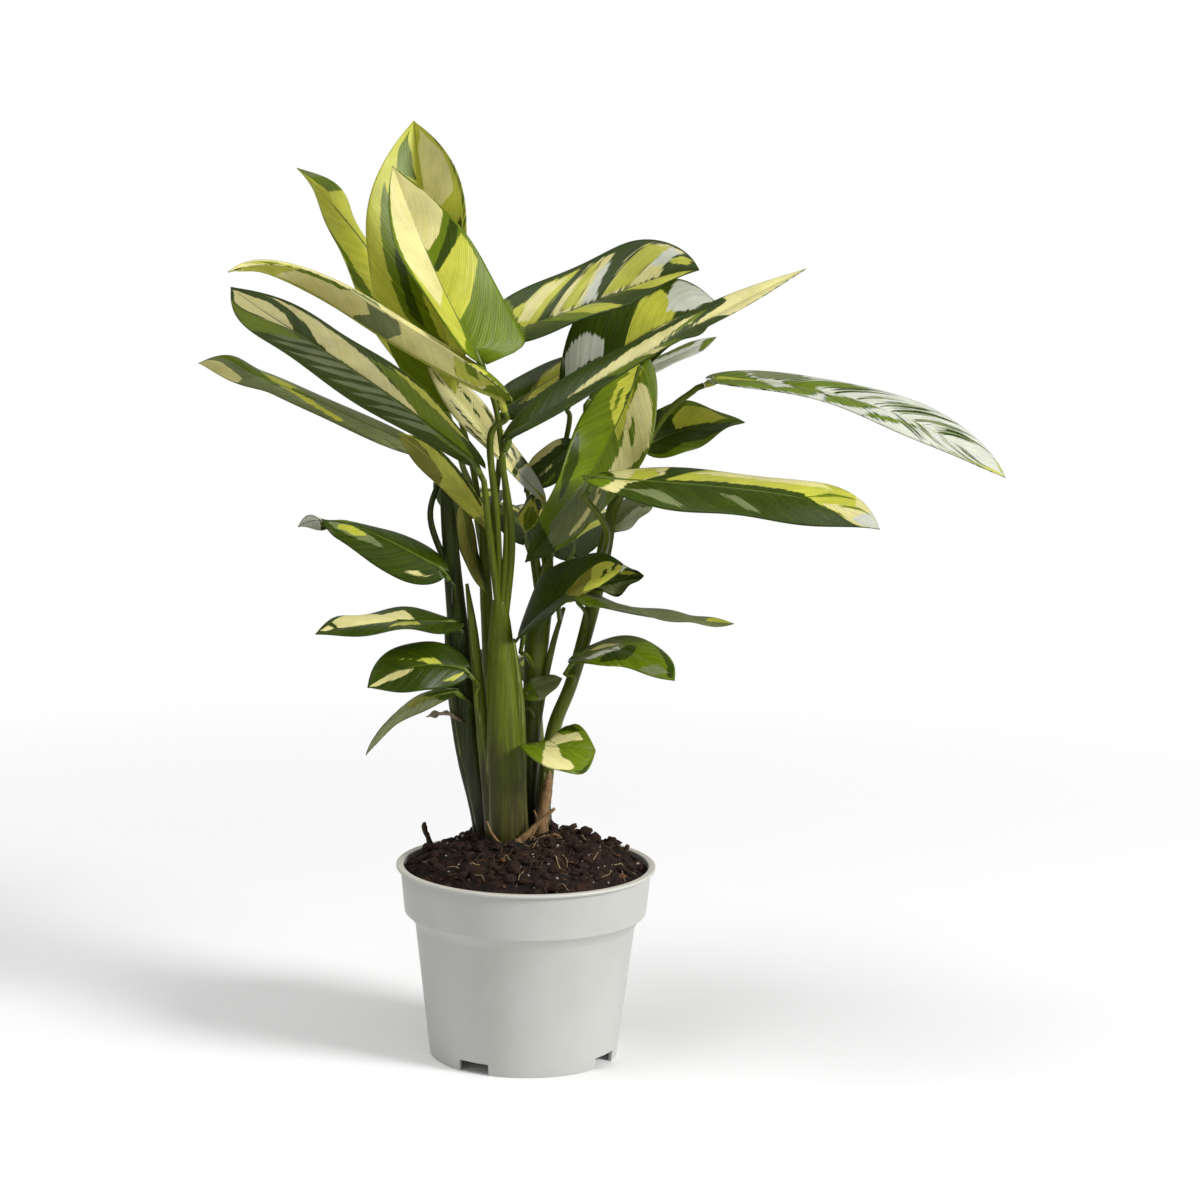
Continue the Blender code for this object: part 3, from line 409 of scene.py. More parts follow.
MARKS = {
    "leaf_crown_front": (
        "mid",
        ("dark", (0.4, 0.02), (0.46, 0.02), (0.52, 0.3), (0.66, 0.95), (0.6, 0.95), (0.48, 0.5)),
        ("lime", (0.16, 0), (0.42, 0), (0.47, 0.3), (0.57, 0.93), (0.42, 0.9), (0.33, 0.62), (0.24, 0.35)),
        ("lime", (0.02, -0.9), (0.05, -0.4), (0.13, -0.12), (0.25, 0), (0.5, 0), (0.5, -0.9), (0.2, -0.97)),
        ("cream", (0.22, -0.7), (0.32, -0.12), (0.42, 0), (1, 0), (1, -1), (0.86, -0.9), (0.45, -0.9)),
        ("cream", (0.54, 0), (1, 0), (1, 0.85), (0.93, 0.95), (0.82, 1), (0.7, 0.93), (0.6, 0.45)),
        ("mid", (0.9, 0.86), (1, 0.7), (1, 1), (0.8, 1)),
    ),
    "leaf_crown_back": (
        "lime",
        ("mid", (0, -0.5), (0.12, -0.5), (0.22, -0.6), (0.38, -1), (0, -1)),
        ("mid", (0.1, 0.9), (0.15, 0.3), (0.2, -0.1), (0.35, -0.25), (0.6, -0.35), (0.78, -0.8),
         (0.5, -0.75), (0.3, -0.6), (0.2, -0.35), (0.12, 0.1)),
        ("dark", (0.24, -0.3), (0.4, -0.42), (0.62, -0.5), (0.5, -0.6), (0.3, -0.5)),
        ("mid", (0.78, -0.12), (0.88, -0.25), (0.97, -0.6), (0.9, -0.75), (0.82, -0.6)),
        ("mid", (0, 1), (0.1, 1), (0.13, 0.1), (0.1, -0.4), (0, -0.4)),
        ("dark", (0.3, 0.1), (0.42, 0.1), (0.6, 0.9), (0.45, 0.9)),
        ("cream", (0.62, 0.05), (0.9, 0.03), (0.97, 0.6), (0.86, 0.9), (0.7, 0.8)),
        ("mid", (0.45, 0.95), (0.97, 0.95), (0.97, 1), (0.45, 1)),
    ),
    "leaf_left_upright": (
        "lime",
        ("dark", (0.08, 0.05), (0.3, 0.05), (0.5, 0.9), (0.25, 0.9)),
        ("dark", (0.15, -0.05), (0.32, -0.05), (0.5, -0.85), (0.3, -0.9)),
        ("mid", (0.5, -0.6), (0.68, -0.75), (0.8, -0.95), (0.6, -0.95)),
        ("mid", (0.88, 0.3), (1, 0.2), (1, 1), (0.86, 1)),
        ("grey", (0.95, 0.3), (1, 0.3), (1, 1), (0.93, 1)),
        ("olive", (0.8, -0.9), (0.95, -0.85), (0.95, -1), (0.75, -1)),
    ),
    "leaf_left_long": (
        "cream",
        ("mid", (0, 1), (0.13, 1), (0.07, 0.4), (0.06, 0), (0.07, -0.4), (0.15, -1), (0, -1)),
        ("lime", (0.07, 0.9), (0.2, 0.9), (0.14, 0.1), (0.08, 0.1)),
        ("lime", (0.07, -0.9), (0.24, -0.9), (0.16, -0.1), (0.08, -0.1)),
        ("grey", (0.41, 0), (0.55, 0), (0.52, 0.5), (0.58, 0.92), (0.46, 0.95), (0.4, 0.5)),
        ("grey", (0.41, 0), (0.55, 0), (0.52, -0.5), (0.58, -0.92), (0.46, -0.95), (0.4, -0.5)),
        ("lime", (0.62, 0.5), (0.8, 0.4), (0.95, 0.8), (0.72, 0.9)),
        ("mid", (0.72, 0.5), (0.84, 0.55), (0.88, 0.8), (0.78, 0.75)),
        ("mid", (0.66, -0.8), (0.8, -0.78), (0.9, -1), (0.64, -1)),
        ("mid", (0.1, -0.5), (0.15, -0.5), (0.21, -1), (0.16, -1)),
        ("lime", (0.84, 0), (1, 0), (1, -1), (0.8, -1)),
    ),
    "leaf_left_broad": (
        "dark",
        ("mid", (0, 0.4), (0.16, 0.3), (0.22, 0), (0.35, -0.35), (0.52, -0.72), (0.4, -0.85), (0.1, -0.7),
         (0, -0.3)),
        *slivers("grey", 0.12, 0.72, 9, 1, 0.035),
        ("lime", (0.12, -0.78), (0.3, -0.74), (0.46, -0.9), (0.3, -0.98), (0.1, -0.95)),
        ("mid", (0.68, 0.1), (0.8, 0.15), (0.97, 0.95), (0.8, 0.95)),
        ("cream", (0.22, -0.03), (0.36, -0.02), (0.6, -0.02), (0.66, -0.12), (0.74, -0.4), (0.82, -0.62),
         (0.92, -0.9), (0.65, -0.85), (0.5, -0.6), (0.36, -0.36)),
        ("cream", (0.74, 0), (0.85, 0.35), (0.95, 0.78), (0.99, 0.3), (0.98, -0.3), (0.9, -0.5),
         (0.82, -0.35)),
    ),
    "leaf_left_low": (
        "grey",
        ("lime", (0.58, 0.35), (0.72, 0.6), (0.75, 0.2), (0.68, -0.1), (0.55, -0.55), (0.4, -0.85),
         (0.38, -0.6), (0.5, -0.3)),
        ("mid", (0.5, 0.1), (0.6, 0.2), (0.6, -0.1), (0.5, -0.2)),
        ("mid", (0.72, 0.4), (0.85, 0.9), (0.95, 0.9), (0.8, 0.1), (0.7, -0.4), (0.66, -0.2)),
        ("cream", (0.82, -0.6), (0.9, 0.2), (0.98, 0.8), (1, 0.8), (1, -1), (0.84, -0.95)),
    ),
    "leaf_left_inner": (
        "lime",
        ("olive", (0.5, 1), (1, 1), (1, -1), (0.75, -0.2), (0.55, 0.3)),
        ("olive", (0, 1), (0.15, 1), (0.1, -1), (0, -1)),
        ("dark", (0.2, -0.55), (0.6, -0.75), (0.9, -0.8), (0.9, -1), (0.2, -1)),
    ),
    "leaf_centre_pale": (
        "cream",
        ("white", (0.02, 1), (0.18, 1), (0.2, 0), (0.17, -1), (0.04, -1)),
        ("dark", (0.2, 1), (0.25, 1), (0.23, 0), (0.24, -1), (0.2, -1)),
        ("dark", (0.26, 0.4), (0.38, 0.75), (0.36, 0.9), (0.25, 0.6)),
        ("dark", (0.26, -0.1), (0.4, 0.35), (0.38, 0.5), (0.26, 0.15)),
        ("dark", (0.42, -0.35), (0.75, -0.48), (0.78, -0.6), (0.45, -0.5)),
        ("dark", (0.3, -0.8), (0.6, -0.75), (0.6, -0.9), (0.3, -0.95)),
        ("dark", (0.5, 0.2), (0.66, 0.55), (0.76, 0.65), (0.74, 0.52), (0.6, 0.25)),
        ("dark", (0.45, 0.6), (0.6, 0.85), (0.6, 1), (0.42, 0.85)),
        ("lime", (0.74, 0.1), (0.88, 0.15), (0.95, 0.9), (0.8, 0.85)),
        ("olive", (0.8, -0.03), (0.9, -0.1), (0.95, -0.5), (0.86, -0.35)),
        ("dark", (0.94, 1), (1, 1), (1, -1), (0.96, -1)),
    ),
    "leaf_right_upper": (
        "dark",
        ("mid", (0, 1), (0.15, 1), (0.15, -1), (0, -1)),
        ("mid", (0.2, 0), (0.3, 0), (0.52, 0.95), (0.4, 0.95)),
        ("lime", (0.33, 0), (0.43, 0), (0.52, 0.4), (0.66, 0.95), (0.5, 0.92), (0.4, 0.45)),
        ("lime", (0.6, 0), (0.92, 0), (0.98, 0.5), (0.95, 0.95), (0.85, 0.9), (0.72, 0.45)),
        ("lime", (0.14, -0.03), (0.21, -0.03), (0.3, -0.35), (0.46, -0.88), (0.3, -0.85), (0.2, -0.6),
         (0.14, -0.6)),
        ("cream", (0.14, -0.2), (0.18, -0.12), (0.3, -0.55), (0.4, -0.82), (0.3, -0.82), (0.2, -0.58)),
        ("cream", (0.27, -0.03), (0.42, -0.03), (0.5, -0.4), (0.62, -0.88), (0.5, -0.88), (0.38, -0.48)),
        ("lime", (0.32, -0.08), (0.4, -0.06), (0.5, -0.55), (0.56, -0.85), (0.5, -0.84), (0.42, -0.5)),
        ("white", (0.42, -0.03), (0.49, -0.05), (0.6, -0.75), (0.53, -0.6)),
        ("cream", (0.5, -0.03), (0.8, -0.03), (0.86, -0.5), (0.92, -0.92), (0.78, -0.9), (0.66, -0.6),
         (0.58, -0.3)),
        ("lime", (0.52, -0.06), (0.66, -0.06), (0.8, -0.5), (0.86, -0.85), (0.76, -0.88), (0.66, -0.55)),
        ("white", (0.76, -0.3), (0.84, -0.3), (0.9, -0.8), (0.86, -0.9)),
        ("dark", (0.8, 0), (0.95, -0.08), (0.98, -0.35), (0.9, -0.2)),
        ("lime", (0.84, -0.35), (0.94, -0.35), (0.96, -0.85), (0.9, -0.7)),
    ),
    "leaf_right_broad": (
        "dark",
        ("white", (0.04, -0.75), (0.08, -0.45), (0.25, -0.1), (0.31, -0.35), (0.26, -0.7), (0.12, -0.95)),
        ("lime", (0.37, 0), (0.7, 0), (0.78, -0.3), (0.72, -0.75), (0.6, -0.65), (0.47, -0.25)),
        ("white", (0.7, -0.2), (0.86, -0.05), (0.98, -0.4), (0.97, -0.95), (0.82, -0.95), (0.74, -0.55)),
        ("lime", (0.25, 0.05), (0.4, 0.05), (0.6, 0.9), (0.4, 0.9)),
        ("cream", (0.55, 0.05), (0.85, 0.05), (0.95, 0.7), (0.75, 0.9)),
    ),
    "leaf_right_tucked": (
        "white",
        ("mid", (0, 1), (0.25, 1), (0.3, -1), (0, -1)),
        ("mid", (0.52, -0.42), (0.8, -0.42), (0.88, -0.9), (0.6, -1), (0.48, -0.75)),
        ("mid", (0.8, 0.95), (1, 0.95), (1, -0.9), (0.93, -0.6), (0.85, 0.2)),
    ),
    "leaf_right_folded": (
        "dark",
        ("mid", (0.3, 0.05), (0.48, 0.05), (0.55, 0.95), (0.35, 0.95)),
        ("cream", (0.42, 0.05), (0.46, 0.05), (0.5, 0.95), (0.46, 0.95)),
        ("cream", (0.7, 1), (1, 1), (1, -1), (0.74, -1), (0.74, -0.5), (0.6, -0.1), (0.66, 0)),
        ("cream", (0.18, -0.03), (0.5, -0.05), (0.62, -0.3), (0.67, -0.62), (0.5, -0.64), (0.35, -0.38)),
        ("mid", (0.5, -0.08), (0.64, -0.35), (0.7, -0.6), (0.66, -0.62), (0.55, -0.3)),
    ),
    "leaf_right_dark": (
        "dark",
        ("olive", (0.1, 0.28), (0.2, 0.35), (0.55, 0.45), (0.75, 0.6), (0.68, -0.75), (0.45, -0.5),
         (0.3, -0.1), (0.2, 0.12)),
        ("lime", (0.18, 0.4), (0.3, 0.42), (0.6, 0.3), (0.66, -0.65), (0.45, -0.4), (0.32, 0)),
    ),
    "leaf_centre_hanging": (
        "mid",
        ("lime", (0, 0.9), (0.05, 0.6), (0.035, -0.2), (0, -0.5)),
        ("dark", (0.35, 0.95), (0.6, 0.9), (0.7, 0.5), (0.5, 0.55)),
        ("grey", (0.52, 0.05), (0.8, 0.3), (0.92, -0.6), (0.75, -0.95), (0.6, -0.9), (0.5, -0.5)),
        ("dark", (0.82, 1), (1, 1), (1, -1), (0.88, -1)),
        ("lime", (0.04, 0.3), (0.1, 0.62), (0.2, 0.5), (0.28, 0.05), (0.33, -0.25), (0.2, -0.18),
         (0.1, -0.08), (0.04, 0)),
        ("mid", (0.09, 0.32), (0.14, 0.42), (0.22, 0.3), (0.2, 0.22), (0.14, 0.3)),
        ("cream", (0.07, -0.2), (0.2, -0.12), (0.35, -0.38), (0.58, -0.42), (0.46, -0.75), (0.3, -0.97),
         (0.15, -0.85), (0.08, -0.6)),
        ("dark", (0.08, 0.02), (0.14, 0.12), (0.2, 0), (0.14, -0.04)),
        ("mid", (0.2, -0.32), (0.28, -0.4), (0.34, -0.6), (0.3, -0.62), (0.24, -0.46)),
        ("cream", (0.58, -0.5), (0.8, -0.65), (0.78, -0.78), (0.55, -0.62)),
    ),
    "leaf_right_small": (
        "mid",
        ("dark", (0, -1), (0.25, -1), (0.4, -0.2), (0.9, 0.1), (0.8, 1), (0.3, 0.6), (0, 0.9)),
        ("lime", (0.3, -0.1), (0.7, -0.08), (0.84, -0.35), (0.7, -0.85), (0.45, -0.78), (0.31, -0.5)),
    ),
    "leaf_right_far": (
        "white",
        ("mid", (0, 1), (0.22, 1), (0.14, 0.3), (0.11, -0.3), (0.1, -1), (0, -1)),
        ("grey", (0.1, -0.25), (0.2, -0.18), (0.3, -0.55), (0.25, -0.95), (0.11, -0.95)),
        ("mid", (0.14, 0.95), (0.3, 1), (0.34, 0.35), (0.31, -0.1), (0.4, -0.4), (0.5, -0.9),
         (0.36, -0.85), (0.2, -0.12), (0.24, 0.4)),
        ("mid", (0.36, 1), (0.48, 0.7), (0.54, 0.1), (0.42, 0.1), (0.35, 0.5)),
        ("mid", (0.5, 0.98), (0.6, 0.75), (0.7, 0.35), (0.62, 0.4), (0.52, 0.7)),
        *slivers("grey", 0.36, 0.72, 6, -1, 0.022),
        *slivers("grey", 0.56, 0.8, 4, 1, 0.018),
        ("lime", (0.76, 0.95), (0.92, 0.8), (0.97, 0.2), (1, 0), (1, 1)),
        ("lime", (0.9, -0.9), (0.98, -0.5), (1, -0.5), (1, -1)),
    ),
    "leaf_right_level": (
        "dark",
        ("mid", (0, 1), (0.06, 1), (0.04, -1), (0, -1)),
        ("cream", (0.04, 1), (0.08, 1), (0.1, 0.3), (0.15, 0), (0.22, -0.4), (0.24, -1), (0.08, -1)),
        ("lime", (0.09, 0.2), (0.14, 0), (0.21, -0.4), (0.2, -0.9), (0.14, -0.8)),
        ("lime", (0.22, -0.1), (0.4, -0.22), (0.68, -0.2), (0.75, 0.08), (0.85, 0.3), (0.95, 0.95),
         (1, 0.95), (1, -1), (0.36, -1), (0.29, -0.6)),
        ("cream", (0.3, -0.62), (0.66, -0.6), (0.76, -0.75), (0.7, -0.98), (0.4, -1)),
        ("cream", (0.76, 0.05), (0.86, 0.3), (0.95, 0.95), (1, 0.95), (1, -1), (0.84, -1), (0.88, -0.3)),
        ("white", (0.9, 0.4), (0.97, 0.95), (1, 0.9), (1, -1), (0.93, -1)),
        *slivers("mid", 0.7, 0.82, 2, -1, 0.012),
        # Painted sheen: these grey streaks on the dark half stand for light reflected off its gloss.
        ("grey", (0.1, 0.6), (0.24, 0.82), (0.31, 0.88), (0.2, 0.38)),
        ("grey", (0.42, 0.28), (0.54, 0.8), (0.6, 0.82), (0.48, 0.3)),
    ),
    "leaf_right_under": (
        "grey",
        ("white", (0.05, -1), (0.2, -0.3), (0.8, -0.4), (0.8, -1)),
    ),
    "leaf_centre_inner": (
        "dark",
        ("cream", (0.12, 0.6), (0.35, 0.5), (0.64, 0.66), (0.7, 1), (0.12, 1)),
        ("cream", (0.36, -0.02), (0.66, 0), (0.68, -0.12), (0.45, -0.2)),
        ("mid", (0.45, -0.48), (0.75, -0.68), (0.72, -0.85), (0.5, -0.62)),
    ),
    "leaf_centre_young": (
        "lime",
        ("mid", (0.3, 0.3), (0.9, 0.3), (1, -0.3), (0.9, -0.9), (0.4, -0.9), (0.2, -0.3)),
        ("dark", (0, 1), (0.7, 1), (0.5, 0.75), (0.1, 0.5), (0.12, -0.3), (0.3, -0.95), (0, -1)),
    ),
    "leaf_low_centre": (
        "dark",
        ("olive", (0.46, 0), (0.55, 0.5), (0.68, 1), (0.78, 1), (0.74, 0), (0.78, -0.5), (0.6, -0.2)),
        ("lime", (0.7, -0.02), (0.71, 0.9), (0.82, 1), (0.95, 0.9), (0.98, 0), (0.95, -0.55),
         (0.85, -0.62), (0.73, -0.42)),
        ("dark", (0.8, 0.4), (0.84, 0.42), (0.84, -0.2), (0.81, -0.18)),
        ("dark", (0.87, -0.05), (0.9, -0.05), (0.95, -0.8), (0.92, -0.7)),
        ("white", (0.96, 1), (1, 1), (1, -1), (0.97, -1)),
    ),
    "leaf_low_centre_back": (
        "dark",
        ("grey", (0.1, 0.5), (0.6, 0.2), (0.9, 0.6), (0.7, 0.9), (0.2, 0.9)),
        ("lime", (0.5, -0.28), (0.7, -0.25), (0.92, -0.33), (0.78, -0.6), (0.6, -0.5)),
    ),
    "leaf_low_right_thin": (
        "grey",
        ("mid", (0, 1), (0.22, 1), (0.2, -0.1), (0.1, -0.4), (0, -0.6)),
        ("lime", (0.82, -0.2), (0.98, -0.2), (0.98, -0.9), (0.85, -0.9)),
    ),
    "leaf_low_right_curled": (
        "mid",
        ("dark", (0.3, 0.9), (0.55, 0.6), (0.5, -0.4), (0.35, -0.2), (0.3, 0.3)),
        ("dark", (0.55, -0.95), (0.9, -0.9), (0.98, -0.2), (0.95, 0.6), (0.85, -0.4)),
        ("grey", (0, 0.9), (0.15, 0.95), (0.3, 0.55), (0.42, -0.2), (0.3, -0.7), (0, -0.9)),
        ("white", (0.14, 0.7), (0.22, 0.75), (0.4, 0), (0.36, -0.2), (0.24, 0.2)),
        ("cream", (0.1, 0), (0.25, -0.1), (0.36, -0.3), (0.2, -0.38)),
        ("lime", (0.33, 0.95), (0.6, 0.93), (0.6, 1), (0.3, 1)),
        ("grey", (0.72, 0.9), (0.86, 0.9), (0.9, -0.2), (0.76, -0.1)),
    ),
    "leaf_low_right_pale": (
        "grey",
        ("mid", (0, 1), (0.3, 1), (0.25, -1), (0, -1)),
    ),
    "leaf_low_round": (
        "mid",
        ("dark", (0, -1), (0.5, -1), (0.8, -0.7), (0.6, -0.62), (0.3, -0.8), (0.1, -0.6)),
        ("dark", (0.3, 0.95), (0.7, 0.9), (0.95, 0.6), (0.8, 1)),
        ("cream", (0.14, -0.32), (0.24, 0.3), (0.32, 1), (0.5, 1), (0.66, 0.82), (0.6, 0.55), (0.5, 0.5),
         (0.4, 0), (0.3, -0.12)),
        ("cream", (0.2, -0.95), (0.2, -0.4), (0.36, -0.1), (0.6, -0.24), (0.82, -0.35), (0.74, -0.6),
         (0.4, -0.5), (0.3, -0.75)),
    ),
    "leaf_low_left_broad": (
        "dark",
        ("grey", (0.36, -0.34), (0.5, -0.16), (0.66, 0), (0.76, -0.2), (0.8, -0.55), (0.6, -0.56)),
        ("lime", (0.5, -0.22), (0.64, -0.05), (0.72, -0.22), (0.72, -0.45), (0.58, -0.46)),
        ("cream", (0.04, -0.58), (0.12, -0.54), (0.21, -0.7), (0.12, -0.72)),
        ("mid", (0.5, 0.9), (0.75, 0.9), (0.78, 0.1), (0.66, 0.1)),
        ("white", (0.86, 1), (1, 1), (1, -1), (0.82, -1)),
    ),
    "leaf_low_left_striped": (
        "dark",
        ("cream", (0.27, 0.72), (0.45, 0.52), (0.5, 0.95), (0.65, 1), (0.83, 0.72), (0.83, 0.08),
         (0.66, -0.1), (0.5, -0.06), (0.4, 0.1), (0.27, 0.08)),
        ("cream", (0.87, 0.65), (0.96, 0.6), (0.93, 0.08), (0.86, 0.1)),
        ("lime", (0.3, -0.18), (0.42, -0.2), (0.57, -0.68), (0.45, -0.62), (0.3, -0.48)),
    ),
    "leaf_low_left_oval": (
        "dark",
        ("lime", (0.17, -0.06), (0.3, 0.27), (0.45, 0.24), (0.62, 0.47), (0.46, 0.2), (0.35, 0.02)),
        ("cream", (0.5, -0.12), (0.68, 0.02), (0.9, -0.04), (0.98, -0.04), (0.98, -0.42), (0.93, -0.55),
         (0.85, -0.36), (0.65, -0.32)),
        ("lime", (0.02, -0.43), (0.1, -0.5), (0.23, -0.74), (0.12, -0.76), (0.03, -0.62)),
    ),
    "leaf_low_left_drooping": (
        "grey",
        ("dark", (0, 1), (0.12, 0.9), (0.2, 0.2), (0.32, -0.5), (0.1, -1), (0, -1)),
        ("olive", (0.14, 0.35), (0.4, 0.3), (0.46, -0.2), (0.36, -0.85), (0.2, 0)),
    ),
    "leaf_centre_olive": (
        "olive",
        ("dark", (0.5, 1), (1, 1), (1, -1), (0.9, -0.2), (0.6, 0.4)),
    ),
}

# How far a blade's borders stray along its veins, in mm
USUAL_FINGER = 0.8
FINGERS = {
    "leaf_right_far": 4.5,
    "leaf_right_upper": 1.6,
    "leaf_right_level": 1.4,
    "leaf_right_folded": 1.2,
    "leaf_left_broad": 1.2,
    "leaf_centre_hanging": 1.2,
    "leaf_right_broad": 2.0,
    "leaf_right_tucked": 2.0,
}

# Leaves that the photograph hides are barred along their veins, as the others are.
HIDDEN_BARS = (
    "dark",
    ("lime", (0.12, 0.03), (0.22, 0.03), (0.42, 0.85), (0.3, 0.85)),
    ("cream", (0.34, 0.03), (0.46, 0.03), (0.66, 0.9), (0.52, 0.9)),
    ("mid", (0.6, 0.03), (0.72, 0.03), (0.88, 0.9), (0.78, 0.9)),
    ("mid", (0.08, -0.03), (0.18, -0.03), (0.36, -0.85), (0.26, -0.85)),
    ("lime", (0.28, -0.03), (0.36, -0.03), (0.54, -0.88), (0.45, -0.88)),
    ("cream", (0.52, -0.03), (0.72, -0.03), (0.9, -0.85), (0.72, -0.9)),
)

# The leaf's tones: the darker and the lighter colour of each, on its upper and its lower face
TOP_TONES = {
    "dark": ("233301", "3e5004"),
    "mid": ("4f6206", "748810"),
    "olive": ("6d6b1c", "878530"),
    "grey": ("666f45", "818a5c"),
    "lime": ("aaae30", "c8c854"),
    "cream": ("d2cb7c", "e3dba4"),
    "white": ("bcc0b0", "d3d5ca"),
}
UNDER_TONES = {
    "dark": ("2b3a08", "465612"),
    "mid": ("586a10", "768622"),
    "olive": ("6f6f28", "888742"),
    "grey": ("676f4a", "818862"),
    "lime": ("abae3e", "c5c45e"),
    "cream": ("cdc67e", "ded6a4"),
    "white": ("b8bcae", "ced0c6"),
}

# A colour Mix node's sockets by number, because others that are hidden share their names
FACTOR = 0
FIRST = 6
SECOND = 7
BLEND = {"output": 2, "data_type": "RGBA"}
SHADE = {**BLEND, "blend_type": "MULTIPLY"}


def linear(code):
    """A colour's sRGB hex code as the linear values that Blender takes."""
    channels = [int(code[i : i + 2], 16) / 255 for i in (0, 2, 4)]
    return (*[c / 12.92 if c <= 0.04045 else ((c + 0.055) / 1.055) ** 2.4 for c in channels], 1.0)


def new_object(name, data):
    thing = bpy.data.objects.new(name, data)
    bpy.context.scene.collection.objects.link(thing)
    return thing


def new_mesh(name, shape):
    """The bmesh as a mesh. The bmesh is freed."""
    mesh = bpy.data.meshes.new(name)
    shape.to_mesh(mesh)
    shape.free()
    return mesh


def modified_mesh(thing):
    """A new mesh of the object as its modifiers leave it."""
    graph = bpy.context.evaluated_depsgraph_get()
    return bpy.data.meshes.new_from_object(thing.evaluated_get(graph))


def pour(shape, piece):
    """Adds one bmesh to another, with its values, and frees it."""
    mesh = new_mesh("poured", piece)
    shape.from_mesh(mesh)
    bpy.data.meshes.remove(mesh)


def face_outwards(shape):
    bmesh.ops.recalc_face_normals(shape, faces=shape.faces)
    for face in shape.faces:
        face.smooth = True


def finish_piece(name, shape, materials, slot, *nodes):
    """Makes the bmesh an object that stands for its nodes and rides with the pot."""
    mesh = new_mesh(name, shape)
    for material in materials:
        mesh.materials.append(material)
    thing = new_object(name, mesh)
    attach(thing, "root")
    if nodes:
        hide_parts(*nodes)
    return thing


def spline_point(points, along):
    """The point at along, from 0 to 1, on a smooth curve through the points."""
    spans = len(points) - 1
    span = min(int(along * spans), spans - 1)
    u = along * spans - span
    here, there = points[span], points[span + 1]
    before = points[span - 1] if span else here * 2 - there
    after = points[span + 2] if span + 2 < len(points) else there * 2 - here
    return 0.5 * (
        2 * here
        + (there - before) * u
        + (2 * before - 5 * here + 4 * there - after) * u**2
        + (3 * here - before - 3 * there + after) * u**3
    )


def smooth_path(points, radii, samples_per_span):
    """Points and radii read from a smooth curve through the points."""
    spans = len(points) - 1
    count = spans * samples_per_span
    path, widths = [], []
    for i in range(count + 1):
        along = i / count
        span = min(int(along * spans), spans - 1)
        u = along * spans - span
        path.append(spline_point(points, along))
        widths.append(radii[span] * (1 - u) + radii[span + 1] * u)
    return path, widths


def grid_angle(vertex, sides):
    """The angle that a grid's vertex has once the grid is wrapped round into so many sides."""
    return round((vertex.co.y + 1) / 2 * sides) % sides * 2 * math.pi / sides


def lap(angle, along, edges, spread):
    """How near an angle is to the margin of a wrapped sheath, which winds round: 1 on it, 0 away."""
    near = 0.0
    for start, drift in edges:
        past = (angle - start - drift * along) % (2 * math.pi)
        near += math.exp(-past / spread)
    return near


def add_tube(shape, path, radii, sides, laps=(), slot=0):
    """A closed round tube along the path: a grid wrapped into rings, with both ends filled."""
    rings = len(path)
    piece = bmesh.new()
    margin = piece.verts.layers.float.new("margin")
    bmesh.ops.create_grid(piece, x_segments=rings - 1, y_segments=sides, size=1.0)
    ways = [(path[min(i + 1, rings - 1)] - path[max(i - 1, 0)]).normalized() for i in range(rings)]
    outward = [ways[0].orthogonal().normalized()]
    for i in range(1, rings):
        outward.append((outward[-1] - ways[i] * outward[-1].dot(ways[i])).normalized())
    for vertex in piece.verts:
        ring = round((vertex.co.x + 1) / 2 * (rings - 1))
        angle = grid_angle(vertex, sides)
        radius = radii[ring] * (1 + SHEATH_SWELL * lap(angle, ring / rings, laps, SHEATH_SWELL_SPREAD))
        vertex[margin] = lap(angle, ring / rings, laps, SHEATH_MARGIN_SPREAD)
        level = outward[ring] * math.cos(angle) + ways[ring].cross(outward[ring]) * math.sin(angle)
        vertex.co = (path[ring] + level * radius) * MM
    bmesh.ops.remove_doubles(piece, verts=piece.verts, dist=1e-7)
    bmesh.ops.holes_fill(piece, edges=[edge for edge in piece.edges if edge.is_boundary], sides=0)
    face_outwards(piece)
    for face in piece.faces:
        face.material_index = slot
    pour(shape, piece)


def direction(heading, rise):
    heading, rise = math.radians(heading), math.radians(rise)
    level = Vector((math.cos(heading), math.sin(heading), 0))
    return level * math.cos(rise) + Vector((0, 0, math.sin(rise)))


def towards_tip(along):
    """0 up to TIP_TURN_FROM, and from there a smooth rise to 1 at the tip."""
    share = max((along - TIP_TURN_FROM) / (1 - TIP_TURN_FROM), 0)
    return share * share * (3 - 2 * share)


def rib_frame(row, along):
    """Where the rib points at along, from 0 to 1, and its upper side and right side."""
    heading = row.aim[0] + row.bend[1] * along
    rise = row.aim[1] - row.bend[0] * along - row.hook * along**HOOK_POWER
    forward = direction(heading, rise)
    up = direction(heading, rise + 90)
    right = forward.cross(up)
    roll = math.radians(row.roll + row.twist * (along - 0.5) + row.tip_turn * towards_tip(along))
    face = up * math.cos(roll) + right * math.sin(roll)
    return forward, face, forward.cross(face)


def rib_points(row):
    """The rib's points from base to tip, summed from short steps along it."""
    points = [row.base.copy()]
    for i in range(RIB_STEPS):
        step = rib_frame(row, (i + 0.5) / RIB_STEPS)[0] * (row.size[0] / RIB_STEPS)
        points.append(points[-1] + step)
    return points


def outline(row, along):
    """Half of the blade's width at along, as a share of the greatest."""
    if along < row.widest:
        short = (row.widest - along) / row.widest
        return max(math.sqrt(max(1 - short**BASE_ROUNDNESS, 0)), BASE_SHARE)
    short = (along - row.widest) / (1 - row.widest)
    return max(1 - short**TIP_POWER, TIP_SHARE * (TIP_FADE - along))


def vein_start(row, along, across):
    """Where the side vein through this point leaves the rib, in mm along the rib."""
    out = row.size[1] / 2 * abs(across)
    return row.size[0] * along - VEIN_LEAN * out * (VEIN_AT_RIB + VEIN_SWEEP * abs(across))


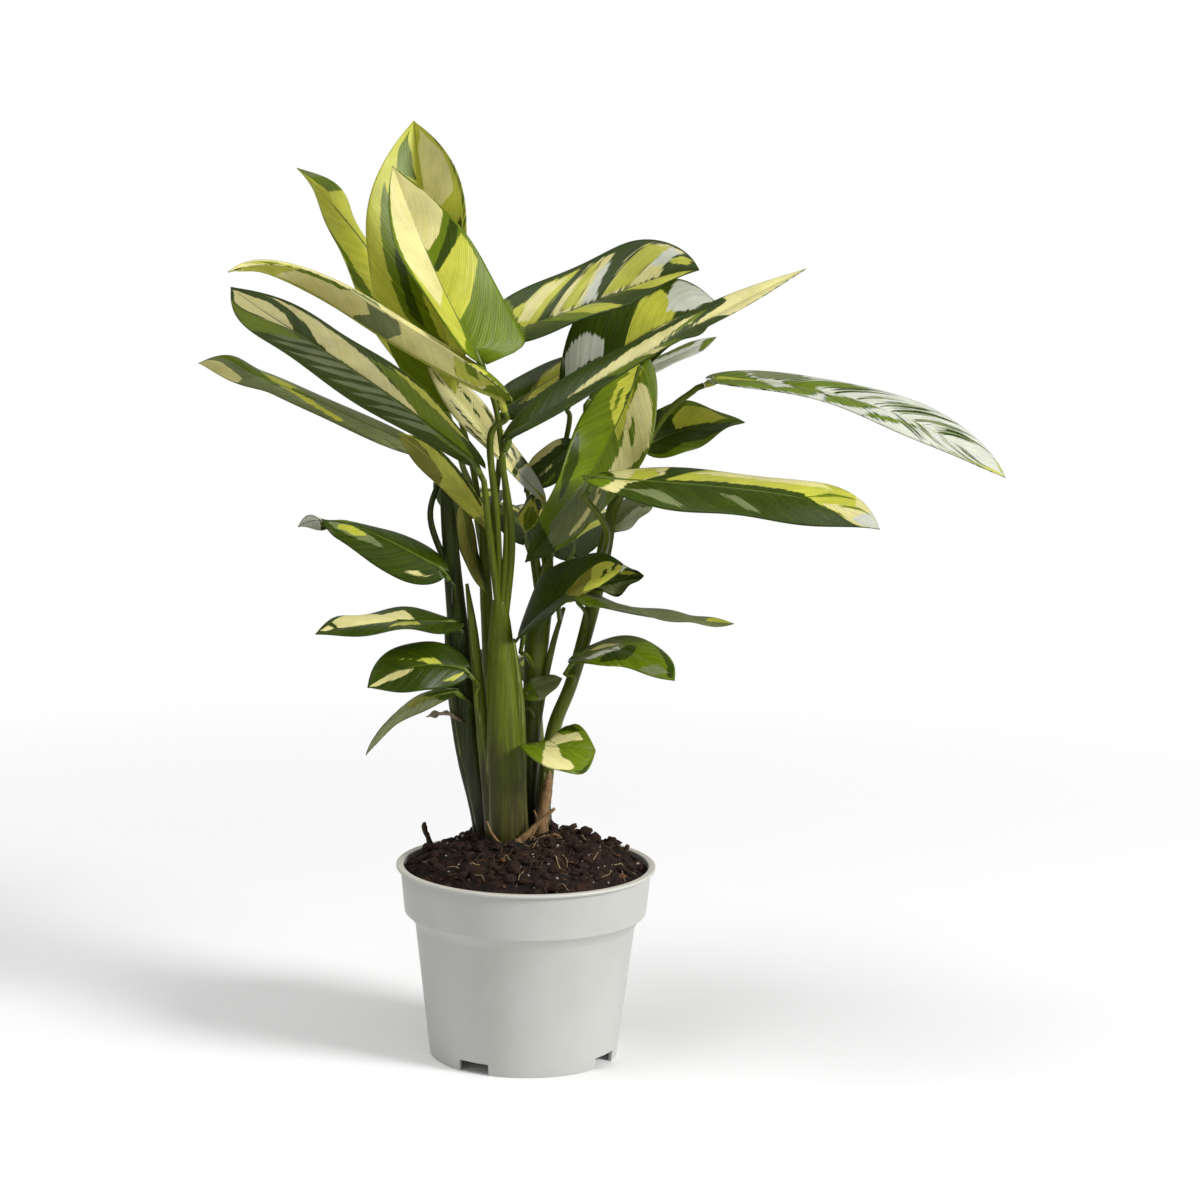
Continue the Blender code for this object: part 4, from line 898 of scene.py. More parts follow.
def blade_point(row, rib, along, across):
    """A point of the blade. across runs from -1 at the left edge to 1 at the right."""
    forward, face, right = rib_frame(row, along)
    side = math.copysign(1, across)
    share = outline(row, along)
    reach = row.size[1] / 2 * (1 + side * row.skew) * share * abs(across)
    lift = math.radians(row.fold - row.curl * abs(across) / 2)
    swing = math.sin(2 * math.pi * (WAVES * along + row.phase + SIDE_PHASE * side)) * row.wave * share
    lobe = LOBE_SHARE * row.size[1] * (1 - along) ** LOBE_FADE * abs(across) ** LOBE_SPREAD
    ridge = math.cos(2 * math.pi * vein_start(row, along, across) / RIDGE_SPACING) * RIDGE_HEIGHT
    ridge *= share * (1 - (2 * abs(across) - 1) ** 2)
    groove = RIB_GROOVE * share * math.exp(-((reach / RIB_GROOVE_WIDTH) ** 2))
    return (
        spline_point(rib, along)
        + right * (side * reach * math.cos(lift))
        + face * (reach * math.sin(lift) + swing * across**2 + ridge - groove)
        - forward * lobe
    )


def inside_distance(corners, places):
    """How far each place lies inside the patch with these corners, negative outside it."""
    a = np.array(corners, float)
    b = np.roll(a, -1, axis=0)
    nearest = np.full(len(places), 1e9)
    inside = np.zeros(len(places), bool)
    for (ax, ay), (bx, by) in zip(a, b):
        edge = np.array((bx - ax, by - ay))
        from_a = places - (ax, ay)
        share = np.clip(from_a @ edge / (edge @ edge), 0, 1)
        nearest = np.minimum(nearest, np.linalg.norm(from_a - share[:, None] * edge, axis=1))
        crosses = (ay > places[:, 1]) != (by > places[:, 1])
        if by != ay:
            inside ^= crosses & (places[:, 0] < (bx - ax) * (places[:, 1] - ay) / (by - ay) + ax)
    return np.where(inside, nearest, -nearest)


def marking_fields(row, places):
    """For each colour, how many mm inside its patches each (along, across) place lies."""
    ground, *marks = MARKS.get(row.name, HIDDEN_BARS)
    scale = np.array((row.size[0], row.size[1] / 2))
    ranks = {name: rank for rank, name in enumerate((GROUND, *COLOURS), -1)}
    fields = np.full((len(COLOURS), len(places)), -WHOLE_BLADE)
    if ground != GROUND:
        fields[ranks[ground]] = WHOLE_BLADE
    for colour, *corners in marks:
        depth = inside_distance(np.array(corners) * scale, places * scale)
        rank = ranks[colour]
        if rank >= 0:
            fields[rank] = np.maximum(fields[rank], depth)
        fields[rank + 1 :] = np.minimum(fields[rank + 1 :], -depth)
    return fields


def even_ends(share):
    """Sets rows closer together towards the base and the tip."""
    return (1 - END_CROWDING) * share + END_CROWDING * (1 - math.cos(math.pi * share)) / 2


def blade_grid(row, rib):
    """The blade as one waved sheet, with its vein map and its marking fields."""
    rows = max(LEAST_ROWS, round(row.size[0] / GRID_SPACING))
    columns = max(LEAST_COLUMNS, 2 * round(row.size[1] / 2 / GRID_SPACING))
    sheet = bmesh.new()
    bmesh.ops.create_grid(sheet, x_segments=rows, y_segments=columns, size=1.0)
    places = np.array([(even_ends((v.co.x + 1) / 2), -v.co.y) for v in sheet.verts])
    places[:, 0] = np.clip(places[:, 0], 0, 1)
    fields = marking_fields(row, places)
    layers = [sheet.verts.layers.float.new(name) for name in COLOURS]
    edge = sheet.verts.layers.float.new("edge")
    finger = sheet.verts.layers.float.new("finger")
    veins = sheet.loops.layers.uv.new("veins")
    starts = {}
    for i, vertex in enumerate(sheet.verts):
        along, across = places[i]
        for layer, field in zip(layers, fields):
            vertex[layer] = field[i]
        vertex[edge] = (1 - abs(across)) * row.size[1] / 2 * outline(row, along)
        vertex[finger] = FINGERS.get(row.name, USUAL_FINGER)
        starts[vertex] = (vein_start(row, along, across), across * row.size[1] / 2)
        vertex.co = blade_point(row, rib, along, across) * MM
    for face in sheet.faces:
        face.smooth = True
        for loop in face.loops:
            loop[veins].uv = starts[loop.vert]
    return sheet


def thickened(sheet):
    """The sheet given its thickness. Its lower face takes the second material."""
    mesh = new_mesh("sheet", sheet)
    # Slots for the skins of the upper face, the lower face and the rib
    for _ in range(3):
        mesh.materials.append(None)
    blade = new_object("sheet", mesh)
    thick = blade.modifiers.new("Thick", "SOLIDIFY")
    thick.thickness = BLADE_THICK * MM
    thick.offset = 0.0
    thick.material_offset = 1
    solid = modified_mesh(blade)
    bpy.data.objects.remove(blade, do_unlink=True)
    bpy.data.meshes.remove(mesh)
    return solid


def knee(row):
    """Where the stalk ends and the blade's swollen joint begins, and which way it points."""
    before = row.via[-1] if row.via else row.start
    way = (row.base - before).normalized() * STALK_PULL + rib_frame(row, 0)[0]
    way.normalize()
    return row.base - way * KNEE_LENGTH, way


def stalk_radius(row):
    return STALK_RADIUS + STALK_GAIN * row.size[0]


def add_joint_and_rib(shape, row, rib):
    """The swollen joint under the blade, running on as the rib along its underside."""
    place, way = knee(row)
    size = stalk_radius(row)
    points = [place, place + way * KNEE_LENGTH * 0.5, row.base]
    radii = [size * swell for swell in KNEE_SWELL]
    for along, share in RIB_TAPER:
        upper = rib_frame(row, along)[1]
        depth = RIB_GROOVE * RIB_SINK + size * share * RIB_STANDS_OUT
        points.append(spline_point(rib, along) - upper * depth)
        radii.append(size * share)
    path, widths = smooth_path(points, radii, samples_per_span=5)
    add_tube(shape, path, widths, STALK_SIDES, slot=2)


def add_leaf(row, skins):
    """A leaf without its stalk. Its skins are those of the upper face, the lower face and the rib."""
    rib = rib_points(row)
    solid = thickened(blade_grid(row, rib))
    shape = bmesh.new()
    shape.from_mesh(solid)
    bpy.data.meshes.remove(solid)
    add_joint_and_rib(shape, row, rib)
    finish_piece(row.name.replace("leaf_", "blade_"), shape, skins, row.colour, row.name)


def add_stalk(shape, row):
    """The leaf's stalk, from inside the shoot to just short of the blade's joint, straight at its end."""
    end, way = knee(row)
    end = end - way * STALK_GAP
    size = stalk_radius(row)
    points = [row.start, *row.via, end - way * STALK_STRAIGHT]
    radii = [size * STALK_FOOT] + [size * STALK_MIDDLE] * len(row.via) + [size]
    path, widths = smooth_path(points, radii, samples_per_span=8)
    add_tube(shape, [*path, end], [*widths, size], STALK_SIDES)


def add_shoot(name, trunks, material):
    """A shoot: stems of wrapped leaf sheaths, and the stalks of its leaves."""
    shape = bmesh.new()
    for i, trunk in enumerate(trunks):
        path, radii = smooth_path([Vector(p) for p in trunk.points], trunk.radii, samples_per_span=10)
        laps = [(SHEATH_FIRST + SHEATH_STEP * k + i, drift) for k, drift in enumerate(SHEATH_DRIFTS)]
        add_tube(shape, path, radii, TRUNK_SIDES, laps)
    for row in LEAVES:
        if row.shoot == name:
            add_stalk(shape, row)
    finish_piece(name.replace("shoot", "stems"), shape, [material], "stem_green", name)


def corner(centre, radius, start, end):
    """Points of a rounded corner, as (radius, height) pairs, between two angles in degrees."""
    angles = [math.radians(start + (end - start) * i / CORNER_STEPS) for i in range(CORNER_STEPS + 1)]
    return [(centre[0] + radius * math.cos(a), centre[1] + radius * math.sin(a)) for a in angles]


def pot_profile():
    """The wall's section from the floor's middle up the inside and down the outside."""
    lip_low_z = POT_HEIGHT - LIP_HEIGHT
    return [
        (0.0, FLOOR_THICK),
        (CHANNEL_INNER_RADIUS - FLOOR_THICK, FLOOR_THICK),
        (CHANNEL_INNER_RADIUS, CHANNEL_TOP_Z + FLOOR_THICK),
        (FOOT_RADIUS + 1.0 - POT_WALL, CHANNEL_TOP_Z + FLOOR_THICK),
        (STEP_RADIUS - POT_WALL, STEP_Z),
        (BAND_LOW_RADIUS - POT_WALL, BAND_LOW_Z),
        (BAND_TOP_RADIUS - POT_WALL, lip_low_z),
        *corner((LIP_INNER_RADIUS + RIM_ROUND, POT_HEIGHT - RIM_ROUND), RIM_ROUND, 180, 90),
        *corner((RIM_RADIUS - RIM_ROUND, POT_HEIGHT - RIM_ROUND), RIM_ROUND, 90, 0),
        *corner((RIM_RADIUS - LIP_ROUND, lip_low_z + LIP_ROUND), LIP_ROUND, 0, -90),
        (BAND_TOP_RADIUS + 0.5, lip_low_z),
        (BAND_TOP_RADIUS, lip_low_z - 0.6),
        *corner((BAND_LOW_RADIUS - BAND_ROUND, BAND_LOW_Z), BAND_ROUND, 0, -60),
        (BAND_LOW_RADIUS - 2.6, BAND_LOW_Z - 2.3),
        (STEP_RADIUS + 0.7, STEP_Z + 0.7),
        (STEP_RADIUS, STEP_Z - 0.6),
        *corner((FOOT_RADIUS - 0.55, FOOT_ROUND), FOOT_ROUND, 0, -90),
        (FOOT_RADIUS - POT_WALL, 0.0),
        (FOOT_RADIUS - POT_WALL, CHANNEL_TOP_Z),
        (CHANNEL_INNER_RADIUS + FLOOR_THICK, CHANNEL_TOP_Z),
        (CHANNEL_INNER_RADIUS, 0.0),
        (0.0, 0.0),
    ]


def foot_cutter():
    """Boxes for the foot's notches and cylinders for its drain holes, as one object."""
    shape = bmesh.new()
    for i in range(NOTCH_COUNT):
        turn = Matrix.Rotation(math.radians(NOTCH_FIRST_ANGLE + 360 / NOTCH_COUNT * i), 4, "Z")
        notch = Matrix.Diagonal((3 * POT_WALL * MM, NOTCH_WIDTH * MM, 2 * NOTCH_HEIGHT * MM, 1))
        place = Matrix.Translation(((FOOT_RADIUS - 0.5 * POT_WALL) * MM, 0, 0))
        bmesh.ops.create_cube(shape, size=1.0, matrix=turn @ place @ notch)
        hole = Matrix.Translation((DRAIN_AT_RADIUS * MM, 0, (CHANNEL_TOP_Z + 0.5 * FLOOR_THICK) * MM))
        bmesh.ops.create_cone(
            shape,
            cap_ends=True,
            segments=DRAIN_SIDES,
            radius1=DRAIN_RADIUS * MM,
            radius2=DRAIN_RADIUS * MM,
            depth=4 * FLOOR_THICK * MM,
            matrix=turn @ hole,
        )
    return new_object("foot_cutter", new_mesh("foot_cutter", shape))


def add_pot(material):
    """The pot: its section spun round, with the notches and drain holes cut out of it."""
    shape = bmesh.new()
    points = [shape.verts.new((r * MM, 0, z * MM)) for r, z in pot_profile()]
    edges = [shape.edges.new(pair) for pair in zip(points, points[1:])]
    bmesh.ops.spin(
        shape,
        geom=points + edges,
        axis=(0, 0, 1),
        cent=(0, 0, 0),
        angle=2 * math.pi,
        steps=POT_STEPS,
        use_merge=True,
    )
    bmesh.ops.remove_doubles(shape, verts=shape.verts, dist=1e-6)
    face_outwards(shape)
    pot = finish_piece("growers_pot", shape, [material], "pot_grey", "pot")
    cutter = foot_cutter()
    cut = pot.modifiers.new("Cut", "BOOLEAN")
    cut.operation = "DIFFERENCE"
    cut.object = cutter
    solid = modified_mesh(pot)
    pot.modifiers.clear()
    pot.data = solid
    bpy.data.objects.remove(cutter, do_unlink=True)
    solid.shade_smooth()
    solid.set_sharp_from_angle(angle=math.radians(SHARP_FROM))


def soil_height(x, y):
    """Height of the soil's top: the mound, the solid's lumps, and finer crumbs on them."""
    radius = math.hypot(x, y)
    share = min(radius / SOIL_MOUND_RADIUS, 1.0)
    height = SOIL_EDGE_Z + SOIL_MOUND * (1 - share**SOIL_MOUND_POWER)
    place = Vector((x, y, height))
    rough = noise.noise(place / SOIL_LUMP_SPACING + SOIL_LUMP_SEED) * SOIL_LUMP * 2
    for spacing, size in SOIL_CRUMBS:
        rough += noise.noise(place / spacing) * size
    rough += abs(noise.noise(place / SOIL_GRAIN_SPACING)) * SOIL_GRAIN
    return height + rough * min(1.0, SOIL_EDGE_ROUGH + (SOIL_RADIUS - radius) / SOIL_EDGE_FADE)


def add_soil(material):
    """The peat: a ringed top with crumbs, closed below by a plug that fits the pot."""
    shape = bmesh.new()
    bmesh.ops.create_grid(shape, x_segments=SOIL_RING_COUNT, y_segments=SOIL_STEPS, size=1.0)
    for vertex in shape.verts:
        radius = SOIL_RADIUS * (1 - ((vertex.co.x + 1) / 2)) ** SOIL_RING_CROWDING
        angle = grid_angle(vertex, SOIL_STEPS)
        x, y = radius * math.cos(angle), radius * math.sin(angle)
        vertex.co = Vector((x, y, soil_height(x, y))) * MM
    bmesh.ops.remove_doubles(shape, verts=shape.verts, dist=1e-6)
    rim = [edge for edge in shape.edges if edge.is_boundary]
    for radius, height in SOIL_PLUG:
        grown = bmesh.ops.extrude_edge_only(shape, edges=rim)["geom"]
        ring = [part for part in grown if isinstance(part, bmesh.types.BMVert)]
        rim = [part for part in grown if isinstance(part, bmesh.types.BMEdge) and part.is_boundary]
        for vertex in ring:
            level = Vector((vertex.co.x, vertex.co.y, 0)).normalized() * radius * MM
            vertex.co = Vector((level.x, level.y, height * MM))
    bmesh.ops.holes_fill(shape, edges=rim, sides=0)
    face_outwards(shape)
    finish_piece("peat", shape, [material], "peat", "soil")


def scattered(draw, count, reach):
    """Drawn places on the soil, clear of the stems' feet."""
    feet = [(trunk.points[0], trunk.radii[0]) for trunks in SHOOTS.values() for trunk in trunks]
    places = []
    while len(places) < count:
        x, y = draw.uniform(-reach, reach, 2)
        if math.hypot(x, y) > reach:
            continue
        if all(math.hypot(x - p[0], y - p[1]) > r + FOOT_CLEARANCE for p, r in feet):
            places.append((x, y))
    return places


def add_crumbs(name, material, count, seed, sizes, flatness, subdivisions=2):
    """Loose lumps lying on the soil, sunk in by a third, none quite alike."""
    draw = np.random.default_rng(seed)
    shape = bmesh.new()
    for i, (x, y) in enumerate(scattered(draw, count, SOIL_RADIUS - CRUMB_MARGIN)):
        size = sizes[0] + (sizes[1] - sizes[0]) * draw.random() ** CRUMB_SMALLNESS
        shift = Vector((i * CRUMB_NOISE_STEP, seed, 0))
        piece = bmesh.new()
        bmesh.ops.create_icosphere(piece, subdivisions=subdivisions, radius=1.0)
        for vertex in piece.verts:
            vertex.co *= 1 + CRUMB_LUMP * noise.noise(vertex.co * CRUMB_LUMP_SCALE + shift)
        stretch = Vector((size * draw.uniform(*CRUMB_STRETCH), size, size * draw.uniform(*flatness)))
        turn = Matrix.Rotation(draw.uniform(0, 2 * math.pi), 4, "Z")
        tilt = Matrix.Rotation(draw.uniform(-CRUMB_TILT, CRUMB_TILT), 4, "X")
        place = Matrix.Translation(Vector((x, y, soil_height(x, y) + stretch.z * CRUMB_RISE)) * MM)
        lump = place @ turn @ tilt @ Matrix.Diagonal((*(stretch * MM), 1))
        bmesh.ops.transform(piece, matrix=lump, verts=piece.verts)
        pour(shape, piece)
    for face in shape.faces:
        face.smooth = True
    finish_piece(name, shape, [material], "peat")


def add_fibres(name, material, count, seed, lengths, radius):
    """Root fibres: thin bent tubes that lie over the lumps of the soil."""
    draw = np.random.default_rng(seed)
    shape = bmesh.new()
    for x, y in scattered(draw, count, SOIL_RADIUS - FIBRE_MARGIN):
        length = draw.uniform(*lengths)
        heading = draw.uniform(0, 2 * math.pi)
        bend = draw.uniform(-FIBRE_BEND, FIBRE_BEND)
        points = []
        for k in range(FIBRE_STEPS + 1):
            lift = math.sin(math.pi * k / FIBRE_STEPS) * draw.uniform(*FIBRE_ARCH)
            points.append(Vector((x, y, soil_height(x, y) + radius * FIBRE_RISE + lift)))
            turn = heading + bend * k / FIBRE_STEPS
            x += math.cos(turn) * length / FIBRE_STEPS
            y += math.sin(turn) * length / FIBRE_STEPS
            if math.hypot(x, y) > SOIL_RADIUS - FIBRE_END_MARGIN:
                break
        if len(points) < 3:
            continue
        radii = [radius * (1 - FIBRE_TAPER * k / len(points)) for k in range(len(points))]
        path, widths = smooth_path(points, radii, samples_per_span=3)
        add_tube(shape, path, widths, FIBRE_SIDES)
    finish_piece(name, shape, [material], "peat")


def kink(place):
    """A small offset that depends on the place alone, so that it is the same in every run."""
    return Vector([noise.noise(place + KINK_SHIFT * axis) for axis in range(3)])


def add_sticks(name, material, sticks):
    """Dry stalks and twigs: crooked tapered tubes."""
    shape = bmesh.new()
    for stick in sticks:
        path, radii = smooth_path([Vector(p) for p in stick.points], stick.radii, samples_per_span=6)
        for i in range(len(path)):
            path[i] += kink(path[i] / STICK_KINK_SPACING) * radii[i] * STICK_KINK
            radii[i] *= 1 + STICK_KNOT * noise.noise(path[i] / STICK_KNOT_SPACING)
        add_tube(shape, path, radii, STICK_SIDES)
    finish_piece(name, shape, [material], "peat")


def add_node(tree, kind, inputs=(), output=0, **settings):
    """Adds a node and gives one of its outputs. The inputs are for its sockets by number, and the
    settings for its attributes, or for its sockets by name. Another node's output is linked."""
    node = tree.nodes.new("ShaderNode" + kind)
    sockets = dict(inputs) if isinstance(inputs, dict) else dict(enumerate(inputs))
    for key, value in settings.items():
        if hasattr(node, key):
            setattr(node, key, value)
        else:
            sockets[key.replace("_", " ")] = value
    for key, value in sockets.items():
        if isinstance(value, bpy.types.NodeSocket):
            tree.links.new(value, node.inputs[key])
        else:
            node.inputs[key].default_value = value
    return node.outputs[output]


def new_material(name, **settings):
    """A material with its shader's constants, and its node tree."""
    material = bpy.data.materials.new(name)
    material.use_nodes = True
    shader = material.node_tree.nodes["Principled BSDF"]
    for key, value in settings.items():
        shader.inputs[key.replace("_", " ")].default_value = value
    return material, material.node_tree


def connect(tree, **sources):
    """Links node outputs to the shader's sockets of these names."""
    shader = tree.nodes["Principled BSDF"]
    for key, source in sources.items():
        tree.links.new(source, shader.inputs[key.replace("_", " ")])


def marked_colour(tree, tones, rag):
    """The tones laid over one another, each where the blade's value for it is above 0."""
    swing = add_node(tree, "MapRange", (rag, 0.3, 0.7, -1.0, 1.0), clamp=False)
    finger = add_node(tree, "Attribute", output="Fac", attribute_name="finger")
    stray = add_node(tree, "Math", (swing, finger), operation="MULTIPLY")
    tint = add_node(tree, "MapRange", (rag, 0.32, 0.68))
    colour = None
    for kind in (GROUND, *COLOURS):
        low, high = (linear(code) for code in tones[kind])
        tone = add_node(tree, "Mix", {FACTOR: tint, FIRST: low, SECOND: high}, **BLEND)
        if kind == GROUND:
            colour = tone
            continue
        depth = add_node(tree, "Attribute", output="Fac", attribute_name=kind)
        ragged = add_node(tree, "Math", (depth, stray), operation="ADD")
        patch = add_node(tree, "MapRange", (ragged, -0.3, 0.3))
        colour = add_node(tree, "Mix", {FACTOR: patch, FIRST: colour, SECOND: tone}, **BLEND)
    return colour


def leaf_material(name, tones, roughness, gloss, ridge):
    """Ctenanthe leaf, a living blade with a waxy skin: satin, with side veins that run from the
    rib to the edge, and markings whose borders follow those veins in fine fingers."""
    material, tree = new_material(
        name,
        IOR=1.42,
        Roughness=roughness,
        Specular_IOR_Level=gloss,
        Subsurface_Weight=0.3,
        Subsurface_Radius=(0.002, 0.002, 0.0007),
        Subsurface_Scale=1.0,
    )
    veins = add_node(tree, "UVMap", output="UV", uv_map="veins")
    fine = add_node(tree, "Mapping", Vector=veins, Scale=(1.5, 0.06, 1.0))
    broad = add_node(tree, "Mapping", Vector=veins, Scale=(0.32, 0.035, 1.0))
    strands = add_node(tree, "TexNoise", Vector=fine, Scale=1.0, Detail=3.0, Roughness=0.6)
    bands = add_node(tree, "TexNoise", Vector=broad, Scale=1.0, Detail=2.0, Roughness=0.5)
    half = add_node(tree, "Math", (strands, 0.5, 0.0), operation="MULTIPLY_ADD")
    rag = add_node(tree, "Math", (bands, 0.5, half), operation="MULTIPLY_ADD")
    colour = marked_colour(tree, tones, rag)
    place = add_node(tree, "TexCoord", output="Object")
    blotch = add_node(tree, "TexNoise", Vector=place, Scale=45.0, Detail=3.0, Roughness=0.55)
    shade = add_node(tree, "MapRange", (blotch, 0.3, 0.7, 0.82, 1.14))
    colour = add_node(tree, "Mix", {FACTOR: 1.0, FIRST: colour, SECOND: shade}, **SHADE)
    line = add_node(tree, "Mapping", Vector=veins, Scale=(0.45, 0.012, 1.0))
    vein = add_node(
        tree,
        "TexWave",
        output="Fac",
        bands_direction="X",
        Vector=line,
        Scale=0.32,
        Distortion=0.8,
        Detail=1.0,
        Detail_Scale=0.6,
    )
    drawn = add_node(tree, "MapRange", (vein, 0.0, 0.25, 0.95, 1.0))
    edge = add_node(tree, "Attribute", output="Fac", attribute_name="edge")
    rim = add_node(tree, "MapRange", (edge, 0.15, 0.7, 0.7, 1.0))
    drawn = add_node(tree, "Math", (drawn, rim), operation="MULTIPLY")
    colour = add_node(tree, "Mix", {FACTOR: 1.0, FIRST: colour, SECOND: drawn}, **SHADE)
    relief = add_node(tree, "Math", (vein, 0.25, rag), operation="MULTIPLY_ADD")
    bump = add_node(tree, "Bump", Height=relief, Strength=0.55, Distance=ridge * MM)
    connect(tree, Base_Color=colour, Normal=bump)
    return material


def streaked_material(name, low, high, roughness, stretch, flecks=None):
    """Plant skin with long streaks up the stem, and darker flecks where it is given them."""
    material, tree = new_material(
        name,
        IOR=1.42,
        Roughness=roughness,
        Subsurface_Weight=0.08,
        Subsurface_Radius=(0.0012, 0.0016, 0.0006),
        Subsurface_Scale=1.0,
    )
    place = add_node(tree, "TexCoord", output="Object")
    long = add_node(tree, "Mapping", Vector=place, Scale=(700, 700, stretch))
    strands = add_node(tree, "TexNoise", Vector=long, Scale=1.0, Detail=4.0, Roughness=0.6)
    blotch = add_node(tree, "TexNoise", Vector=place, Scale=55.0, Detail=3.0, Roughness=0.6)
    both = add_node(tree, "Math", (blotch, 0.6, strands), operation="MULTIPLY_ADD")
    tint = add_node(tree, "MapRange", (both, 0.55, 1.05))
    colour = add_node(tree, "Mix", {FACTOR: tint, FIRST: linear(low), SECOND: linear(high)}, **BLEND)
    if flecks:
        cells = add_node(tree, "TexVoronoi", output="Distance", Vector=place, Scale=900.0)
        fleck = add_node(tree, "MapRange", (cells, 0.16, 0.24, 1.0, 0.0))
        colour = add_node(tree, "Mix", {FACTOR: fleck, FIRST: colour, SECOND: linear(flecks)}, **BLEND)
    bump = add_node(tree, "Bump", Height=strands, Strength=0.5, Distance=0.0003)
    connect(tree, Base_Color=colour, Normal=bump)
    return material


def stem_material(name, upper, lower):
    """Leaf sheaths, waxy and finely ribbed: green higher up, and paler along the thin margins where they
    wrap. Towards the peat they turn brown and darker, partly a real stain and partly painted shade."""
    material, tree = new_material(
        name,
        IOR=1.42,
        Roughness=0.38,
        Specular_IOR_Level=0.35,
        Subsurface_Weight=0.1,
        Subsurface_Radius=(0.0015, 0.0018, 0.0005),
        Subsurface_Scale=1.0,
    )
    place = add_node(tree, "TexCoord", output="Object")
    long = add_node(tree, "Mapping", Vector=place, Scale=(520, 520, 12))
    strands = add_node(tree, "TexNoise", Vector=long, Scale=1.0, Detail=4.0, Roughness=0.65)
    patchy = add_node(tree, "Mapping", Vector=place, Scale=(90, 90, 16))
    stain_and_shade_patches = add_node(tree, "TexNoise", Vector=patchy, Scale=1.0, Detail=4.0, Roughness=0.6)
    tint = add_node(tree, "MapRange", (strands, 0.32, 0.68))
    green, brown = (
        add_node(tree, "Mix", {FACTOR: tint, FIRST: linear(low), SECOND: linear(high)}, **BLEND)
        for low, high in (upper, lower)
    )
    height = add_node(tree, "SeparateXYZ", (place,), "Z")
    # Browner and darker low down and in patches: partly a real stain near the peat, partly painted shade low
    # among the stems.
    low_down = add_node(tree, "MapRange", (height, 0.1, 0.2, 0.62, 0.0))
    near = add_node(tree, "Math", (low_down, stain_and_shade_patches), operation="ADD")
    share = add_node(tree, "MapRange", (near, 0.62, 0.95))
    colour = add_node(tree, "Mix", {FACTOR: share, FIRST: green, SECOND: brown}, **BLEND)
    margin = add_node(tree, "Attribute", output="Fac", attribute_name="margin")
    thin = add_node(tree, "MapRange", (margin, 0.3, 0.9, 0.0, 0.6))
    colour = add_node(tree, "Mix", {FACTOR: thin, FIRST: colour, SECOND: linear("93965a")}, **BLEND)
    bump = add_node(tree, "Bump", Height=strands, Strength=0.4, Distance=0.00025)
    connect(tree, Base_Color=colour, Normal=bump)
    return material


def pot_material():
    """Moulded polypropylene, pale grey: satin, with a faint mottle and fine dust, and a painted highlight
    along the rim's top.
    """
    material, tree = new_material(
        "moulded_polypropylene",
        IOR=1.49,
        Subsurface_Weight=0.05,
        Subsurface_Radius=(0.002, 0.002, 0.002),
        Subsurface_Scale=1.0,
    )
    place = add_node(tree, "TexCoord", output="Object")
    mottle = add_node(tree, "TexNoise", Vector=place, Scale=18.0, Detail=5.0, Roughness=0.55)
    long = add_node(tree, "Mapping", Vector=place, Scale=(30, 30, 9))
    flow = add_node(tree, "TexNoise", Vector=long, Scale=1.0, Detail=3.0, Roughness=0.6)
    tint = add_node(tree, "Math", (flow, 0.5, mottle), operation="MULTIPLY_ADD")
    share = add_node(tree, "MapRange", (tint, 0.55, 0.95))
    low, high = linear("b1b1ac"), linear("b9b9b5")
    colour = add_node(tree, "Mix", {FACTOR: share, FIRST: low, SECOND: high}, **BLEND)
    specks = add_node(tree, "TexNoise", Vector=place, Scale=900.0, Detail=2.0)
    dust = add_node(tree, "MapRange", (specks, 0.66, 0.76, 0.0, 0.35))
    colour = add_node(tree, "Mix", {FACTOR: dust, FIRST: colour, SECOND: linear("8f8b82")}, **BLEND)
    # Painted highlight: the colour grows paler towards the rim's top edge, where the light catches it.
    height = add_node(tree, "SeparateXYZ", (place,), "Z")
    rim_painted_highlight = add_node(tree, "MapRange", (height, 0.1034, 0.1043, 0.0, 0.65))
    colour = add_node(tree, "Mix", {FACTOR: rim_painted_highlight, FIRST: colour, SECOND: linear("d8d3c6")}, **BLEND)
    satin = add_node(tree, "MapRange", (flow, 0.3, 0.7, 0.36, 0.5))
    grain = add_node(tree, "TexNoise", Vector=place, Scale=1600.0, Detail=2.0)
    bump = add_node(tree, "Bump", Height=grain, Strength=0.25, Distance=0.00008)
    connect(tree, Base_Color=colour, Roughness=satin, Normal=bump)
    return material


def peat_material(name, low, high, scale, roughness=0.9):
    """Peat, cut and damp: matt and crumbly, dark between crumbs, rusty where fibres show."""
    material, tree = new_material(name, IOR=1.35, Roughness=roughness)
    place = add_node(tree, "TexCoord", output="Object")
    crumbs = add_node(tree, "TexNoise", Vector=place, Scale=scale, Detail=6.0, Roughness=0.7)
    rust = add_node(tree, "TexNoise", Vector=place, Scale=scale * 0.22, Detail=3.0, Roughness=0.6)
    share = add_node(tree, "MapRange", (crumbs, 0.38, 0.64))
    colour = add_node(tree, "Mix", {FACTOR: share, FIRST: linear(low), SECOND: linear(high)}, **BLEND)
    warm = add_node(tree, "MapRange", (rust, 0.52, 0.68, 0.0, 0.55))
    colour = add_node(tree, "Mix", {FACTOR: warm, FIRST: colour, SECOND: linear("42271a")}, **BLEND)
    bump = add_node(tree, "Bump", Height=crumbs, Strength=1.0, Distance=0.0012)
    connect(tree, Base_Color=colour, Normal=bump)
    return material


def floor_material():
    """Matt white studio paper. It thins out far from the plant, into the white of the studio."""
    material, tree = new_material("studio_paper", Base_Color=linear("f8f8f8"), Roughness=0.9)
    place = add_node(tree, "TexCoord", output="Object")
    reach = add_node(tree, "VectorMath", (place,), "Value", operation="LENGTH")
    left = add_node(tree, "MapRange", (reach, PAPER_THINS_FROM, PAPER_ENDS, 1.0, 0.0))
    connect(tree, Alpha=left)
    return material


def add_floor(material):
    shape = bmesh.new()
    bmesh.ops.create_grid(shape, x_segments=1, y_segments=1, size=FLOOR_REACH)
    floor = new_object("floor", new_mesh("floor", shape))
    floor.data.materials.append(material)


